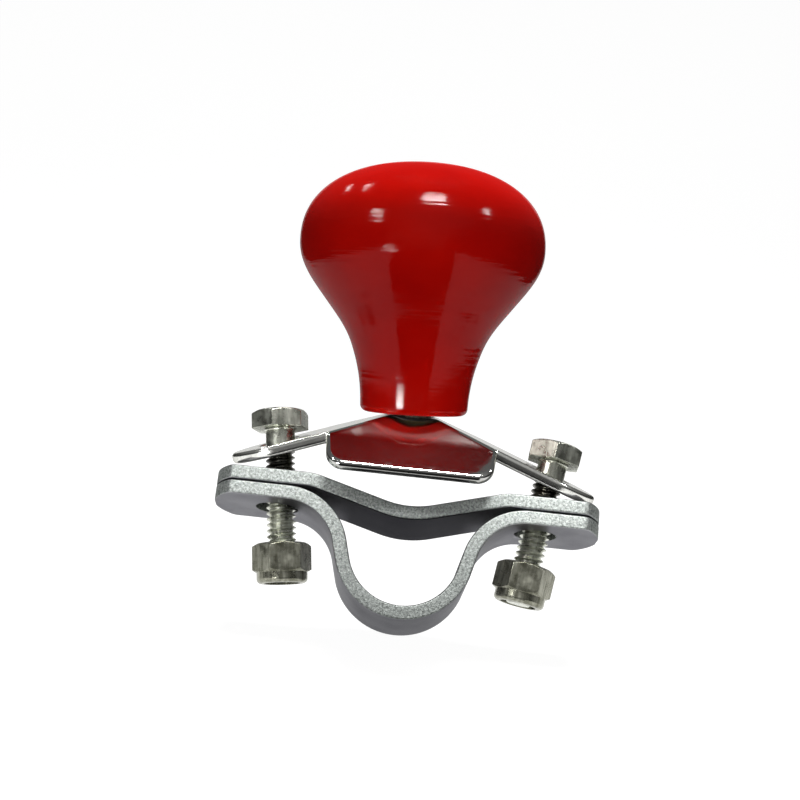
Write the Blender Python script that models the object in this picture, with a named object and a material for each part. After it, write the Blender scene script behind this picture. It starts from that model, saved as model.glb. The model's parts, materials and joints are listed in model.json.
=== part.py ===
"""Steering wheel spinner knob.

A turned knob spins on a pivot bolt in a pressed sheet bridge. Two strap halves close
round the wheel's rim, and two hex bolts with nylon lock nuts hold bridge and straps
together. The clamp is modelled loose, as it is before it is put on a wheel: the bridge
and its knob stand upright and the straps have rocked back under them.

Metres, +Z up along the upright bridge, +X along the straps, +Y away from the front.
The origin is the centre of the wheel rim's seat in the lower strap.
"""

import bpy
import bmesh
from math import acos, asin, ceil, cos, pi, radians, sin, sqrt, tan
from mathutils import Matrix, Vector

MM = 0.001

# Clearances
SEAT_GAP = 0.3 * MM            # between pieces that rest on each other
RUNNING_GAP = 0.3 * MM         # round a shaft, a thread or an insert

# How the loose pieces lie
STRAP_ROCK = radians(22.0)     # straps rocked back under the bridge
BRIDGE_SHIFT_X = -0.8 * MM
BRIDGE_SHIFT_Y = 6.9 * MM
BOLT_FOOT_SHIFT = 0.5 * MM     # both bolts lie this far to +X in the straps' holes
KNOB_LEAN = radians(3.0)       # the knob leans to -X on its loose pivot

# Straps
STRAP_WIDTH = 19.0 * MM
STRAP_THICKNESS = 3.0 * MM
STRAP_EDGE_RADIUS = 0.45 * MM
STRAP_EAR_LENGTH = 15.87 * MM  # flat ear, from the lower strap's shoulder to the end
STRAP_END_SAG = 3.8 * MM       # how far the curved end stands past its corners
STRAP_END_FLAT = 2.4 * MM      # half the short flat at the tip of the curved end
STRAP_CORNER_RADIUS = 2.0 * MM
STRAP_HOLE_RADIUS = 4.5 * MM
STRAP_HOLE_REACH = 2.37 * MM   # from the same shoulder to the middle of the hole
RIM_RADIUS = 11.6 * MM         # inside of the lower strap's U
RIM_SEAT_HEIGHT = 11.3 * MM    # from the U's centre to the top of the lower ears
LEG_LEAN = radians(15.0)
LOWER_SHOULDER_RADIUS = 13.8 * MM
DIP_SLOPE = radians(15.5)
DIP_DEPTH = 5.0 * MM
DIP_RADIUS = 18.5 * MM
UPPER_SHOULDER_RADIUS = 13.0 * MM

# Bridge
BRIDGE_THICKNESS = 2.4 * MM
BRIDGE_WIDTH = 19.0 * MM
BRIDGE_SET_BACK = 1.5 * MM     # the bridge's arms end this far short of the straps
FOLD_OFFSET = 1.4 * MM         # the wings and the pivot stand this far left of the middle
BRIDGE_CROWN_FLAT = 4.0 * MM
BRIDGE_CROWN_RADIUS = 5.0 * MM
ARM_SLOPE = radians(20.2)
EAR_HOLE_RADIUS = 4.5 * MM
EAR_HOLE_SPREAD = 1.9 * MM     # how much farther out the bridge's holes are than the straps'
WING_HALF_WIDTH = 18.2 * MM
WING_TAPER = 1.0 * MM          # how much narrower the wing is at its foot, each side
WING_SLOPE = radians(46.0)
WING_HEIGHT = 10.6 * MM        # from the crown down to the wing's foot
WING_BEND_RADIUS = 3.2 * MM
WING_CORNER_RADIUS = 3.6 * MM
BRIDGE_EDGE_RADIUS = 0.9 * MM

# Clamp bolts and lock nuts
THREAD_RADIUS = 3.175 * MM
HEX_ACROSS_FLATS = 11.1 * MM
BOLT_HEAD_HEIGHT = 4.0 * MM
BOLT_LENGTH = 31.75 * MM
BOLT_END_CHAMFER = 0.8 * MM
HEX_CHAMFER = radians(30.0)
NUT_HEX_HEIGHT = 6.3 * MM
NUT_COLLAR_HEIGHT = 2.2 * MM
NUT_COLLAR_RADIUS = 5.45 * MM
NUT_LIP_RADIUS = 4.5 * MM      # outer radius where the collar is crimped over
NUT_LIP_OPENING = 3.85 * MM
NUT_LIP_THICKNESS = 0.4 * MM
NYLON_RADIUS = 4.1 * MM
NYLON_HEIGHT = 1.5 * MM
NUT_DISTANCE_LEFT = 24.9 * MM  # from under the head to the nut's bearing face
NUT_DISTANCE_RIGHT = 23.3 * MM
HEAD_TURN_LEFT = radians(17.0) # how each hexagon is turned from a corner along X
HEAD_TURN_RIGHT = radians(25.0)
NUT_TURN_LEFT = radians(10.0)
NUT_TURN_RIGHT = radians(-3.0)

# Knob and pivot
KNOB_HEIGHT = 54.0 * MM
KNOB_RADIUS = 26.5 * MM
KNOB_WIDEST_HEIGHT = 36.2 * MM
KNOB_FOOT_RADIUS = 11.7 * MM
KNOB_FOOT_ROUNDING = 1.5 * MM
KNOB_KNEE_RADIUS = 14.2 * MM
KNOB_KNEE_HEIGHT = 14.2 * MM
KNOB_FLANK_RADIUS = 20.2 * MM
KNOB_FLANK_HEIGHT = 23.6 * MM
KNOB_KNEE_LEAN = radians(20.0)
KNOB_FLANK_LEAN = radians(37.5)
KNOB_DOME_POWER = 2.25         # 2 would be an ellipse, more is squarer
PIVOT_SHOULDER_RADIUS = 4.0 * MM
PIVOT_THREAD_LENGTH = 16.0 * MM
PIVOT_HOLE_GAP = 0.4 * MM
THRUST_WASHER_RADIUS = 6.5 * MM
KNOB_FOOT_GAP = 0.5 * MM       # from the crown to the middle of the knob's foot
THRUST_WASHER_THICKNESS = 1.4 * MM
PIVOT_WASHER_THICKNESS = 1.2 * MM
INSERT_RADIUS = 6.3 * MM
INSERT_LENGTH = 21.0 * MM
INSERT_FLANGE_RADIUS = 7.6 * MM
INSERT_FLANGE_THICKNESS = 1.5 * MM

# How finely the curved forms are cut
ARC_STEP = radians(9.0)
KNOB_SEGMENTS = 60
BOLT_SEGMENTS = 32


def clear_scene():
    for old in list(bpy.data.objects):
        bpy.data.objects.remove(old, do_unlink=True)


def material(name, colour, roughness, metallic, coat=0.0):
    made = bpy.data.materials.new(name)
    made.use_nodes = True
    shader = made.node_tree.nodes["Principled BSDF"]
    shader.inputs["Base Color"].default_value = (*colour, 1.0)
    shader.inputs["Roughness"].default_value = roughness
    shader.inputs["Metallic"].default_value = metallic
    shader.inputs["Coat Weight"].default_value = coat
    made.diffuse_color = (*colour, 1.0)
    return made


def empty(name, matrix, parent=None):
    made = bpy.data.objects.new(name, None)
    bpy.context.scene.collection.objects.link(made)
    made.parent = parent
    made.matrix_local = matrix
    return made


def place(name, mesh, paint, parent, matrix=Matrix.Identity(4)):
    made = bpy.data.objects.new(name, mesh)
    bpy.context.scene.collection.objects.link(made)
    made.parent = parent
    made.matrix_local = matrix
    if not mesh.materials:
        mesh.materials.append(paint)
    return made


def finish_mesh(name, builder):
    """Turn a bmesh into a mesh, with its faces outward and round faces smooth."""
    bmesh.ops.recalc_face_normals(builder, faces=builder.faces)
    mesh = bpy.data.meshes.new(name)
    builder.to_mesh(mesh)
    builder.free()
    mesh.shade_smooth()
    mesh.set_sharp_from_angle(angle=radians(32.0))
    return mesh


def arc_points(centre, radius, start, end, step=ARC_STEP):
    """Points on an arc, both ends included. Angles are from the first axis."""
    count = max(1, ceil(abs(end - start) / step - 1e-6))
    points = []
    for index in range(count + 1):
        angle = start + (end - start) * index / count
        points.append((centre[0] + radius * cos(angle), centre[1] + radius * sin(angle)))
    return points


def turn(name, profile, segments, closed=False):
    """Turn a profile of (radius, height) points round Z.

    An open profile starts and ends on the axis. A closed one makes a ring.
    """
    builder = bmesh.new()
    rings = []
    for radius, height in profile:
        if radius < 1e-7:
            rings.append([builder.verts.new((0.0, 0.0, height))])
            continue
        ring = []
        for index in range(segments):
            angle = 2.0 * pi * (index + 0.5) / segments
            ring.append(builder.verts.new((radius * cos(angle), radius * sin(angle), height)))
        rings.append(ring)
    pairs = list(zip(rings, rings[1:]))
    if closed:
        pairs.append((rings[-1], rings[0]))
    for low, high in pairs:
        for index in range(segments):
            after = (index + 1) % segments
            if len(low) == 1:
                builder.faces.new((low[0], high[after], high[index]))
            elif len(high) == 1:
                builder.faces.new((low[index], low[after], high[0]))
            else:
                builder.faces.new((low[index], low[after], high[after], high[index]))
    return finish_mesh(name, builder)


def washer_profile(bore, outer, bottom, top, edge=0.15 * MM):
    """A flat ring with its edges broken."""
    return [
        (bore + edge, bottom), (outer - edge, bottom), (outer, bottom + edge),
        (outer, top - edge), (outer - edge, top), (bore + edge, top),
        (bore, top - edge), (bore, bottom + edge),
    ]


def prism(name, outline, bottom, top):
    """A straight block over a plan outline of (x, y) points."""
    builder = bmesh.new()
    floor = builder.faces.new([builder.verts.new((x, y, bottom)) for x, y in outline])
    grown = bmesh.ops.extrude_face_region(builder, geom=[floor])
    for item in grown["geom"]:
        if isinstance(item, bmesh.types.BMVert):
            item.co.z = top
    return finish_mesh(name, builder)


def carve(mesh, steps):
    """Apply Boolean steps of (operation, other mesh, its matrix) and return one mesh."""
    subject = bpy.data.objects.new("carved", mesh)
    bpy.context.scene.collection.objects.link(subject)
    helpers = []
    for operation, other, matrix in steps:
        helper = bpy.data.objects.new("cutter", other)
        bpy.context.scene.collection.objects.link(helper)
        helper.matrix_world = matrix
        helper.hide_render = True
        helper.display_type = "WIRE"
        helpers.append(helper)
        cut = subject.modifiers.new(operation.lower(), "BOOLEAN")
        cut.operation = operation
        cut.solver = "EXACT"
        cut.object = helper
    result = evaluated_mesh(subject, mesh.name)
    for leftover in [subject, *helpers]:
        bpy.data.objects.remove(leftover, do_unlink=True)
    return result


def evaluated_mesh(subject, name):
    bpy.context.view_layer.update()
    depsgraph = bpy.context.evaluated_depsgraph_get()
    mesh = bpy.data.meshes.new_from_object(subject.evaluated_get(depsgraph))
    mesh.name = name
    mesh.shade_smooth()
    mesh.set_sharp_from_angle(angle=radians(32.0))
    return mesh


def round_cutter(radius, bottom, top):
    profile = [(0.0, bottom), (radius, bottom), (radius, top), (0.0, top)]
    return turn("round_cutter", profile, BOLT_SEGMENTS)


# Straps

def lower_strap_bends():
    """The lower strap's mid line: seat radius, turn, straight leg and shoulder radius."""
    half = STRAP_THICKNESS / 2.0
    seat = RIM_RADIUS + half
    shoulder = LOWER_SHOULDER_RADIUS - half
    swing = pi / 2.0 - LEG_LEAN
    ear = RIM_SEAT_HEIGHT - half
    leg = (ear + seat * cos(swing) - shoulder * (1.0 - cos(swing))) / sin(swing)
    return seat, swing, leg, shoulder


def ear_start():
    """How far out the lower strap's shoulder ends and its flat ear starts."""
    seat, swing, leg, shoulder = lower_strap_bends()
    return (seat + shoulder) * sin(swing) + leg * cos(swing)


def strap_half_length():
    return ear_start() + STRAP_EAR_LENGTH


def strap_hole_x():
    return ear_start() + STRAP_HOLE_REACH


def strap_half_path(start, bends):
    """Mid line of half a strap, from the middle out to its flat ear, as (x, z, heading).

    bends is a list of (radius, turn angle, straight run after the bend).
    """
    x, z = start
    heading = 0.0
    path = [(x, z, heading)]
    for radius, angle, run in bends:
        side = 1.0 if angle > 0 else -1.0
        centre = (x - side * radius * sin(heading), z + side * radius * cos(heading))
        count = ceil(abs(angle) / ARC_STEP)
        for index in range(1, count + 1):
            now = heading + angle * index / count
            path.append((centre[0] + side * radius * sin(now), centre[1] - side * radius * cos(now), now))
        heading += angle
        x, z = path[-1][0], path[-1][1]
        if run > 0:
            x += run * cos(heading)
            z += run * sin(heading)
            path.append((x, z, heading))
    return path


def strap_end():
    """Plan points of a strap's end: a rounded corner, then a shallow arc to a short flat."""
    half_width = STRAP_WIDTH / 2.0
    radius = (half_width ** 2 + STRAP_END_SAG ** 2) / (2.0 * STRAP_END_SAG)
    centre_x = strap_half_length() - radius
    corner_y = half_width - STRAP_CORNER_RADIUS
    corner_x = sqrt((radius - STRAP_CORNER_RADIUS) ** 2 - corner_y ** 2)
    turned = asin(corner_y / (radius - STRAP_CORNER_RADIUS))
    narrow = asin(STRAP_END_FLAT / radius)
    corner = (centre_x + corner_x, corner_y)
    points = arc_points(corner, STRAP_CORNER_RADIUS, pi / 2.0, turned, radians(17.0))
    return points + arc_points((centre_x, 0.0), radius, turned, narrow)[1:]


def strap_section(half_width, half_thickness):
    """Rounded rectangle as (across, through) offsets."""
    radius = STRAP_EDGE_RADIUS
    points = []
    for index, (side_a, side_b) in enumerate(((1, 1), (-1, 1), (-1, -1), (1, -1))):
        centre = (side_a * (half_width - radius), side_b * (half_thickness - radius))
        points += arc_points(centre, radius, index * pi / 2, (index + 1) * pi / 2, radians(45.0))
    return points


def strap_mesh(name, half_path):
    """Sweep the strap's section along its path, mirrored about the middle."""
    straight = [(x, z, heading, STRAP_WIDTH / 2.0) for x, z, heading in half_path]
    height = half_path[-1][1]
    right = straight + [(x, height, 0.0, half_width) for x, half_width in strap_end()]
    left = [(-x, z, -heading, half_width) for x, z, heading, half_width in reversed(right[1:])]
    builder = bmesh.new()
    rings = []
    for x, z, heading, half_width in left + right:
        ring = []
        for across, through in strap_section(half_width, STRAP_THICKNESS / 2.0):
            ring.append(builder.verts.new((x - through * sin(heading), across, z + through * cos(heading))))
        rings.append(ring)
    for near, far in zip(rings, rings[1:]):
        for index in range(len(near)):
            after = (index + 1) % len(near)
            builder.faces.new((near[index], near[after], far[after], far[index]))
    builder.faces.new(rings[0])
    builder.faces.new(list(reversed(rings[-1])))
    mesh = finish_mesh(name, builder)
    cutter = round_cutter(STRAP_HOLE_RADIUS, -STRAP_WIDTH, STRAP_WIDTH)
    steps = []
    for side in (-1, 1):
        steps.append(("DIFFERENCE", cutter, Matrix.Translation((side * strap_hole_x(), 0.0, height))))
    return carve(mesh, steps)


def lower_strap_path():
    seat, swing, leg, shoulder = lower_strap_bends()
    bends = [(seat, swing, leg), (shoulder, -swing, 0.0)]
    return strap_half_path((0.0, -seat), bends)


def upper_strap_path():
    half = STRAP_THICKNESS / 2.0
    ear = RIM_SEAT_HEIGHT + SEAT_GAP + half
    dip = DIP_RADIUS + half
    shoulder = UPPER_SHOULDER_RADIUS - half
    flank = (DIP_DEPTH - (dip + shoulder) * (1.0 - cos(DIP_SLOPE))) / sin(DIP_SLOPE)
    bends = [(dip, DIP_SLOPE, flank), (shoulder, -DIP_SLOPE, 0.0)]
    return strap_half_path((0.0, ear - DIP_DEPTH), bends)


def strap_top():
    """Height of the upper strap's top face over the rim seat, in the straps' own frame."""
    return RIM_SEAT_HEIGHT + SEAT_GAP + STRAP_THICKNESS


# Bridge

def bridge_half_length():
    return strap_half_length() - BRIDGE_SET_BACK


def ear_hole_x():
    return strap_hole_x() + EAR_HOLE_SPREAD


def arm_top(x):
    """Height of the bridge's top face over its crown, along its length."""
    far = abs(x) - BRIDGE_CROWN_FLAT
    if far <= 0.0:
        return 0.0
    bend = BRIDGE_CROWN_RADIUS * sin(ARM_SLOPE)
    if far < bend:
        return sqrt(BRIDGE_CROWN_RADIUS ** 2 - far ** 2) - BRIDGE_CROWN_RADIUS
    return -BRIDGE_CROWN_RADIUS * (1.0 - cos(ARM_SLOPE)) - (far - bend) * tan(ARM_SLOPE)


def wing_root(x):
    """Half the flat width of the top face at x: the wings bend down from here."""
    drop_here = -arm_top(x)
    drop_at_side = -arm_top(WING_HALF_WIDTH)
    return BRIDGE_WIDTH / 2.0 - (drop_at_side - drop_here) / tan(WING_SLOPE)


def wing_foot(x):
    """Height of the wing's lower edge at x, with its corners rounded."""
    past = abs(x) - (WING_HALF_WIDTH - WING_CORNER_RADIUS)
    if past <= 0.0:
        return -WING_HEIGHT
    rise = WING_CORNER_RADIUS - sqrt(max(0.0, WING_CORNER_RADIUS ** 2 - past ** 2))
    return -WING_HEIGHT + rise * sin(WING_SLOPE)


def bridge_columns():
    """Places along half the bridge: (x, in the wing) from the middle out to the tip's curve."""
    bend_end = BRIDGE_CROWN_FLAT + BRIDGE_CROWN_RADIUS * sin(ARM_SLOPE)
    corner = WING_HALF_WIDTH - WING_CORNER_RADIUS
    places = [0.0, BRIDGE_CROWN_FLAT / 2.0, BRIDGE_CROWN_FLAT]
    for index in (1, 2, 3):
        places.append(BRIDGE_CROWN_FLAT + BRIDGE_CROWN_RADIUS * sin(ARM_SLOPE * index / 3.0))
    places.append((bend_end + corner) / 2.0)
    for index in range(6):
        places.append(corner + WING_CORNER_RADIUS * sin(pi / 2.0 * index / 5.0))
    return places


def wing_line(x, side):
    """Points down one wing at x: the bend first, then the flat part to the foot."""
    root = wing_root(x)
    top = arm_top(x)
    points = []
    bend_steps = 6
    for index in range(1, bend_steps + 1):
        angle = WING_SLOPE * index / bend_steps
        points.append((root + WING_BEND_RADIUS * sin(angle), top - WING_BEND_RADIUS * (1.0 - cos(angle))))
    start_y, start_z = points[-1]
    run = start_z - wing_foot(x)
    flat_steps = 3
    for index in range(1, flat_steps + 1):
        down = run * index / flat_steps
        points.append((start_y + down / tan(WING_SLOPE), start_z - down))
    line = []
    for y, z in points:
        narrowing = WING_TAPER * max(0.0, top - z) / (top + WING_HEIGHT)
        line.append((x * (1.0 - narrowing / WING_HALF_WIDTH), side * y, z))
    return line


def bridge_sheet():
    """The bridge's top face: a sloped band with round ends and a wing bent down each side."""
    half = bridge_columns()
    columns = [-x for x in reversed(half[1:])] + half
    row_angles = [radians(angle) for angle in range(-90, 91, 15)]
    tip_radius = BRIDGE_WIDTH / 2.0
    builder = bmesh.new()
    grid = []
    for x in columns:
        root = wing_root(x)
        front = [builder.verts.new(point) for point in reversed(wing_line(x, -1))]
        middle = [builder.verts.new((x, root * sin(angle), arm_top(x))) for angle in row_angles]
        back = [builder.verts.new(point) for point in wing_line(x, 1)]
        grid.append((front, middle, back))
    for here, after in zip(grid, grid[1:]):
        line_here = here[0] + here[1] + here[2]
        line_after = after[0] + after[1] + after[2]
        for index in range(len(line_here) - 1):
            corners = (line_here[index], line_after[index], line_after[index + 1], line_here[index + 1])
            builder.faces.new(corners)
    for side, edge_line in ((-1, grid[0][1]), (1, grid[-1][1])):
        last = edge_line
        start = WING_HALF_WIDTH
        tip_centre = bridge_half_length() + side * FOLD_OFFSET - tip_radius
        for share in (0.35, 0.7, 1.0):
            line = []
            for angle in row_angles:
                reach = tip_centre + tip_radius * cos(angle) - start
                x = start + reach * share
                line.append(builder.verts.new((side * x, tip_radius * sin(angle), arm_top(x))))
            for index in range(len(line) - 1):
                corners = [last[index], line[index], line[index + 1], last[index + 1]]
                builder.faces.new(corners if side > 0 else list(reversed(corners)))
            last = line
    bmesh.ops.recalc_face_normals(builder, faces=builder.faces)
    if sum(face.normal.z for face in builder.faces) < 0.0:
        bmesh.ops.reverse_faces(builder, faces=builder.faces)
    mesh = bpy.data.meshes.new("bridge_sheet")
    builder.to_mesh(mesh)
    builder.free()
    return mesh


def bridge_blank():
    """The sheet given its thickness and its rolled edges, before the holes."""
    subject = bpy.data.objects.new("bridge_blank", bridge_sheet())
    bpy.context.scene.collection.objects.link(subject)
    thicken = subject.modifiers.new("thickness", "SOLIDIFY")
    thicken.thickness = BRIDGE_THICKNESS
    thicken.offset = -1.0
    thicken.use_even_offset = True
    soften = subject.modifiers.new("edges", "BEVEL")
    soften.width = BRIDGE_EDGE_RADIUS
    soften.segments = 2
    soften.limit_method = "ANGLE"
    soften.angle_limit = radians(50.0)
    mesh = evaluated_mesh(subject, "bridge")
    bpy.data.objects.remove(subject, do_unlink=True)
    return mesh


def ear_hole_centre(side):
    """Centre of an ear hole on the bridge's top face."""
    x = side * ear_hole_x() + FOLD_OFFSET
    return Vector((x, 0.0, arm_top(x)))


def bridge_mesh(blank):
    """Pierce the pivot hole and the two ear holes, each square to its own face."""
    steps = []
    pivot_cutter = round_cutter(pivot_hole_radius(), -3.0 * BRIDGE_THICKNESS, BRIDGE_THICKNESS)
    steps.append(("DIFFERENCE", pivot_cutter, Matrix.Identity(4)))
    ear_cutter = round_cutter(EAR_HOLE_RADIUS, -3.0 * BRIDGE_THICKNESS, 2.0 * BRIDGE_THICKNESS)
    for side in (-1, 1):
        square = Matrix.Rotation(side * ARM_SLOPE, 4, "Y")
        centre = Matrix.Translation(ear_hole_centre(side))
        steps.append(("DIFFERENCE", ear_cutter, centre @ square))
    return carve(blank, steps)


def bridge_height(blank, strap_normal):
    """How high the crown stands when the ear tips rest on the rocked upper strap."""
    ears = [point.co for point in blank.vertices if abs(point.co.x) > ear_hole_x()]
    lowest = min(strap_normal.dot(point) for point in ears)
    slide = strap_normal.y * BRIDGE_SHIFT_Y
    return (strap_top() + SEAT_GAP - lowest - slide) / strap_normal.z


# Hex bolts and nuts

def hex_corner():
    return HEX_ACROSS_FLATS / 2.0 / cos(pi / 6.0)


def hex_outline():
    radius = hex_corner()
    return [(radius * cos(pi / 3.0 * index), radius * sin(pi / 3.0 * index)) for index in range(6)]


def hex_chamfer(bottom, top, chamfer_bottom, chamfer_top):
    """The turned form that cuts a hexagon's corners back at its ends."""
    face = HEX_ACROSS_FLATS / 2.0 * 0.95
    reach = hex_corner() * 1.2
    tip = face - MM / tan(HEX_CHAMFER)
    slant = (reach - face) * tan(HEX_CHAMFER)
    profile = [(0.0, bottom - MM)]
    if chamfer_bottom:
        profile += [(tip, bottom - MM), (reach, bottom + slant)]
    else:
        profile += [(reach, bottom - MM)]
    if chamfer_top:
        profile += [(reach, top - slant), (tip, top + MM)]
    else:
        profile += [(reach, top + MM)]
    profile.append((0.0, top + MM))
    return turn("hex_chamfer", profile, BOLT_SEGMENTS)


def hex_bolt(name, shank):
    """A hex head over z = 0 with a turned shank below it, as one piece."""
    head = prism(name, hex_outline(), 0.0, BOLT_HEAD_HEIGHT)
    chamfer = hex_chamfer(0.0, BOLT_HEAD_HEIGHT, False, True)
    here = Matrix.Identity(4)
    return carve(head, [("INTERSECT", chamfer, here), ("UNION", turn("shank", shank, BOLT_SEGMENTS), here)])


def shank_profile(steps):
    """Stepped shank from inside the head down to its chamfered end: (radius, lower height)."""
    profile = [(0.0, BOLT_HEAD_HEIGHT / 2.0)]
    upper = BOLT_HEAD_HEIGHT / 2.0
    for radius, lower in steps:
        profile += [(radius, upper), (radius, lower)]
        upper = lower
    end_radius, end_height = profile.pop()
    profile += [
        (end_radius, end_height + BOLT_END_CHAMFER),
        (end_radius - BOLT_END_CHAMFER, end_height),
        (0.0, end_height),
    ]
    return profile


def along(direction):
    """A frame with Z along a direction and X as near to the world's X as it can be."""
    across = direction.cross(Vector((1.0, 0.0, 0.0))).normalized()
    level = across.cross(direction)
    return Matrix((level, across, direction)).transposed().to_4x4()


def nut_height():
    return NUT_HEX_HEIGHT + NUT_COLLAR_HEIGHT


def lock_nut_mesh():
    """Lock nut with its bearing face at z = 0 and its crimped collar below."""
    body = prism("lock_nut", hex_outline(), -NUT_HEX_HEIGHT, 0.0)
    chamfer = hex_chamfer(-NUT_HEX_HEIGHT, 0.0, True, True)
    foot = -nut_height()
    bend = NUT_COLLAR_RADIUS - NUT_LIP_RADIUS
    collar = [(0.0, -NUT_HEX_HEIGHT / 2.0), (NUT_COLLAR_RADIUS, -NUT_HEX_HEIGHT / 2.0)]
    collar += arc_points((NUT_LIP_RADIUS, foot + bend), bend, 0.0, -pi / 2.0, radians(30.0))
    collar.append((0.0, foot))
    bore = THREAD_RADIUS + RUNNING_GAP
    pocket = NYLON_RADIUS + RUNNING_GAP
    ceiling = foot + NUT_LIP_THICKNESS + NYLON_HEIGHT + 2.0 * RUNNING_GAP
    hollow = [
        (0.0, MM), (bore + 1.6 * MM, MM), (bore, -0.6 * MM), (bore, ceiling), (pocket, ceiling),
        (pocket, foot + NUT_LIP_THICKNESS), (NUT_LIP_OPENING, foot + NUT_LIP_THICKNESS),
        (NUT_LIP_OPENING, foot - MM), (0.0, foot - MM),
    ]
    here = Matrix.Identity(4)
    return carve(body, [
        ("INTERSECT", chamfer, here),
        ("UNION", turn("collar", collar, BOLT_SEGMENTS), here),
        ("DIFFERENCE", turn("hollow", hollow, BOLT_SEGMENTS), here),
    ])


def nylon_ring_mesh():
    bottom = -nut_height() + NUT_LIP_THICKNESS + RUNNING_GAP
    profile = washer_profile(THREAD_RADIUS + RUNNING_GAP, NYLON_RADIUS, bottom, bottom + NYLON_HEIGHT)
    return turn("nylon_ring", profile, BOLT_SEGMENTS, closed=True)


# Knob and pivot, in the knob's own frame with z = 0 on the crown's top face

def washer_rise():
    """Room that a leaning washer needs over the flat crown."""
    return SEAT_GAP + THRUST_WASHER_RADIUS * tan(KNOB_LEAN)


def pivot_washer_top():
    """The lower washer hangs clear of the arms, which slope down past the crown."""
    arm_drop = BRIDGE_THICKNESS / cos(ARM_SLOPE) - arm_top(THRUST_WASHER_RADIUS)
    return -arm_drop - washer_rise()


def thrust_washer_top():
    return washer_rise() + THRUST_WASHER_THICKNESS


def pivot_head_top():
    return pivot_washer_top() - PIVOT_WASHER_THICKNESS - SEAT_GAP


def shoulder_length():
    """From the pivot bolt's head up to where its thread enters the insert."""
    return thrust_washer_top() - pivot_head_top()


def pivot_hole_radius():
    return PIVOT_SHOULDER_RADIUS + PIVOT_HOLE_GAP


def bezier(start, start_handle, end_handle, end, count):
    points = []
    for index in range(1, count + 1):
        t = index / count
        s = 1.0 - t
        weights = (s ** 3, 3 * s * s * t, 3 * s * t * t, t ** 3)
        corners = (start, start_handle, end_handle, end)
        points.append(tuple(sum(w * c[axis] for w, c in zip(weights, corners)) for axis in (0, 1)))
    return points


def knob_side():
    """Outline from the foot up to the widest place, then the dome, as (radius, height)."""
    nodes = [
        (KNOB_FOOT_RADIUS, KNOB_FOOT_ROUNDING, radians(2.0)),
        (KNOB_KNEE_RADIUS, KNOB_KNEE_HEIGHT, KNOB_KNEE_LEAN),
        (KNOB_FLANK_RADIUS, KNOB_FLANK_HEIGHT, KNOB_FLANK_LEAN),
        (KNOB_RADIUS, KNOB_WIDEST_HEIGHT, 0.0),
    ]
    foot_centre = (KNOB_FOOT_RADIUS - KNOB_FOOT_ROUNDING, KNOB_FOOT_ROUNDING)
    outline = arc_points(foot_centre, KNOB_FOOT_ROUNDING, -pi / 2.0, 0.0, radians(30.0))
    for (r0, z0, lean0), (r1, z1, lean1), count in zip(nodes, nodes[1:], (6, 6, 8)):
        reach = sqrt((r1 - r0) ** 2 + (z1 - z0) ** 2) * 0.36
        handle0 = (r0 + reach * sin(lean0), z0 + reach * cos(lean0))
        handle1 = (r1 - reach * sin(lean1), z1 - reach * cos(lean1))
        outline += bezier((r0, z0), handle0, handle1, (r1, z1), count)
    dome_height = KNOB_HEIGHT - KNOB_WIDEST_HEIGHT
    dome_steps = 13
    for index in range(1, dome_steps + 1):
        angle = pi / 2.0 * index / dome_steps
        radius = KNOB_RADIUS * max(0.0, cos(angle)) ** (2.0 / KNOB_DOME_POWER)
        height = KNOB_WIDEST_HEIGHT + dome_height * sin(angle) ** (2.0 / KNOB_DOME_POWER)
        if index == dome_steps:
            radius = 0.0
        outline.append((radius, height))
    return outline


def knob_mesh():
    foot = KNOB_FOOT_GAP
    outline = [(radius, height + foot) for radius, height in knob_side()]
    recess = INSERT_FLANGE_RADIUS + RUNNING_GAP
    ceiling = thrust_washer_top() + SEAT_GAP + INSERT_FLANGE_THICKNESS + RUNNING_GAP
    bore = INSERT_RADIUS + RUNNING_GAP
    bore_end = thrust_washer_top() + SEAT_GAP + INSERT_LENGTH + RUNNING_GAP
    inside = [(0.0, bore_end), (bore, bore_end), (bore, ceiling), (recess, ceiling), (recess, foot)]
    return turn("knob", inside + outline, KNOB_SEGMENTS)


def insert_mesh():
    """Flanged threaded insert, blind, moulded into the knob."""
    bottom = thrust_washer_top() + SEAT_GAP
    top = bottom + INSERT_LENGTH
    flange = bottom + INSERT_FLANGE_THICKNESS
    bore = THREAD_RADIUS + RUNNING_GAP
    blind = top - 2.0 * MM
    profile = [
        (0.0, blind), (bore, blind), (bore, bottom), (INSERT_FLANGE_RADIUS, bottom),
        (INSERT_FLANGE_RADIUS, flange), (INSERT_RADIUS, flange),
    ]
    groove = 0.8 * MM
    middle = (flange + top) / 2.0
    profile += [
        (INSERT_RADIUS, middle - 2.0 * groove), (INSERT_RADIUS - groove, middle - groove),
        (INSERT_RADIUS - groove, middle + groove), (INSERT_RADIUS, middle + 2.0 * groove),
        (INSERT_RADIUS, top), (0.0, top),
    ]
    return turn("knob_insert", profile, BOLT_SEGMENTS)


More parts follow.
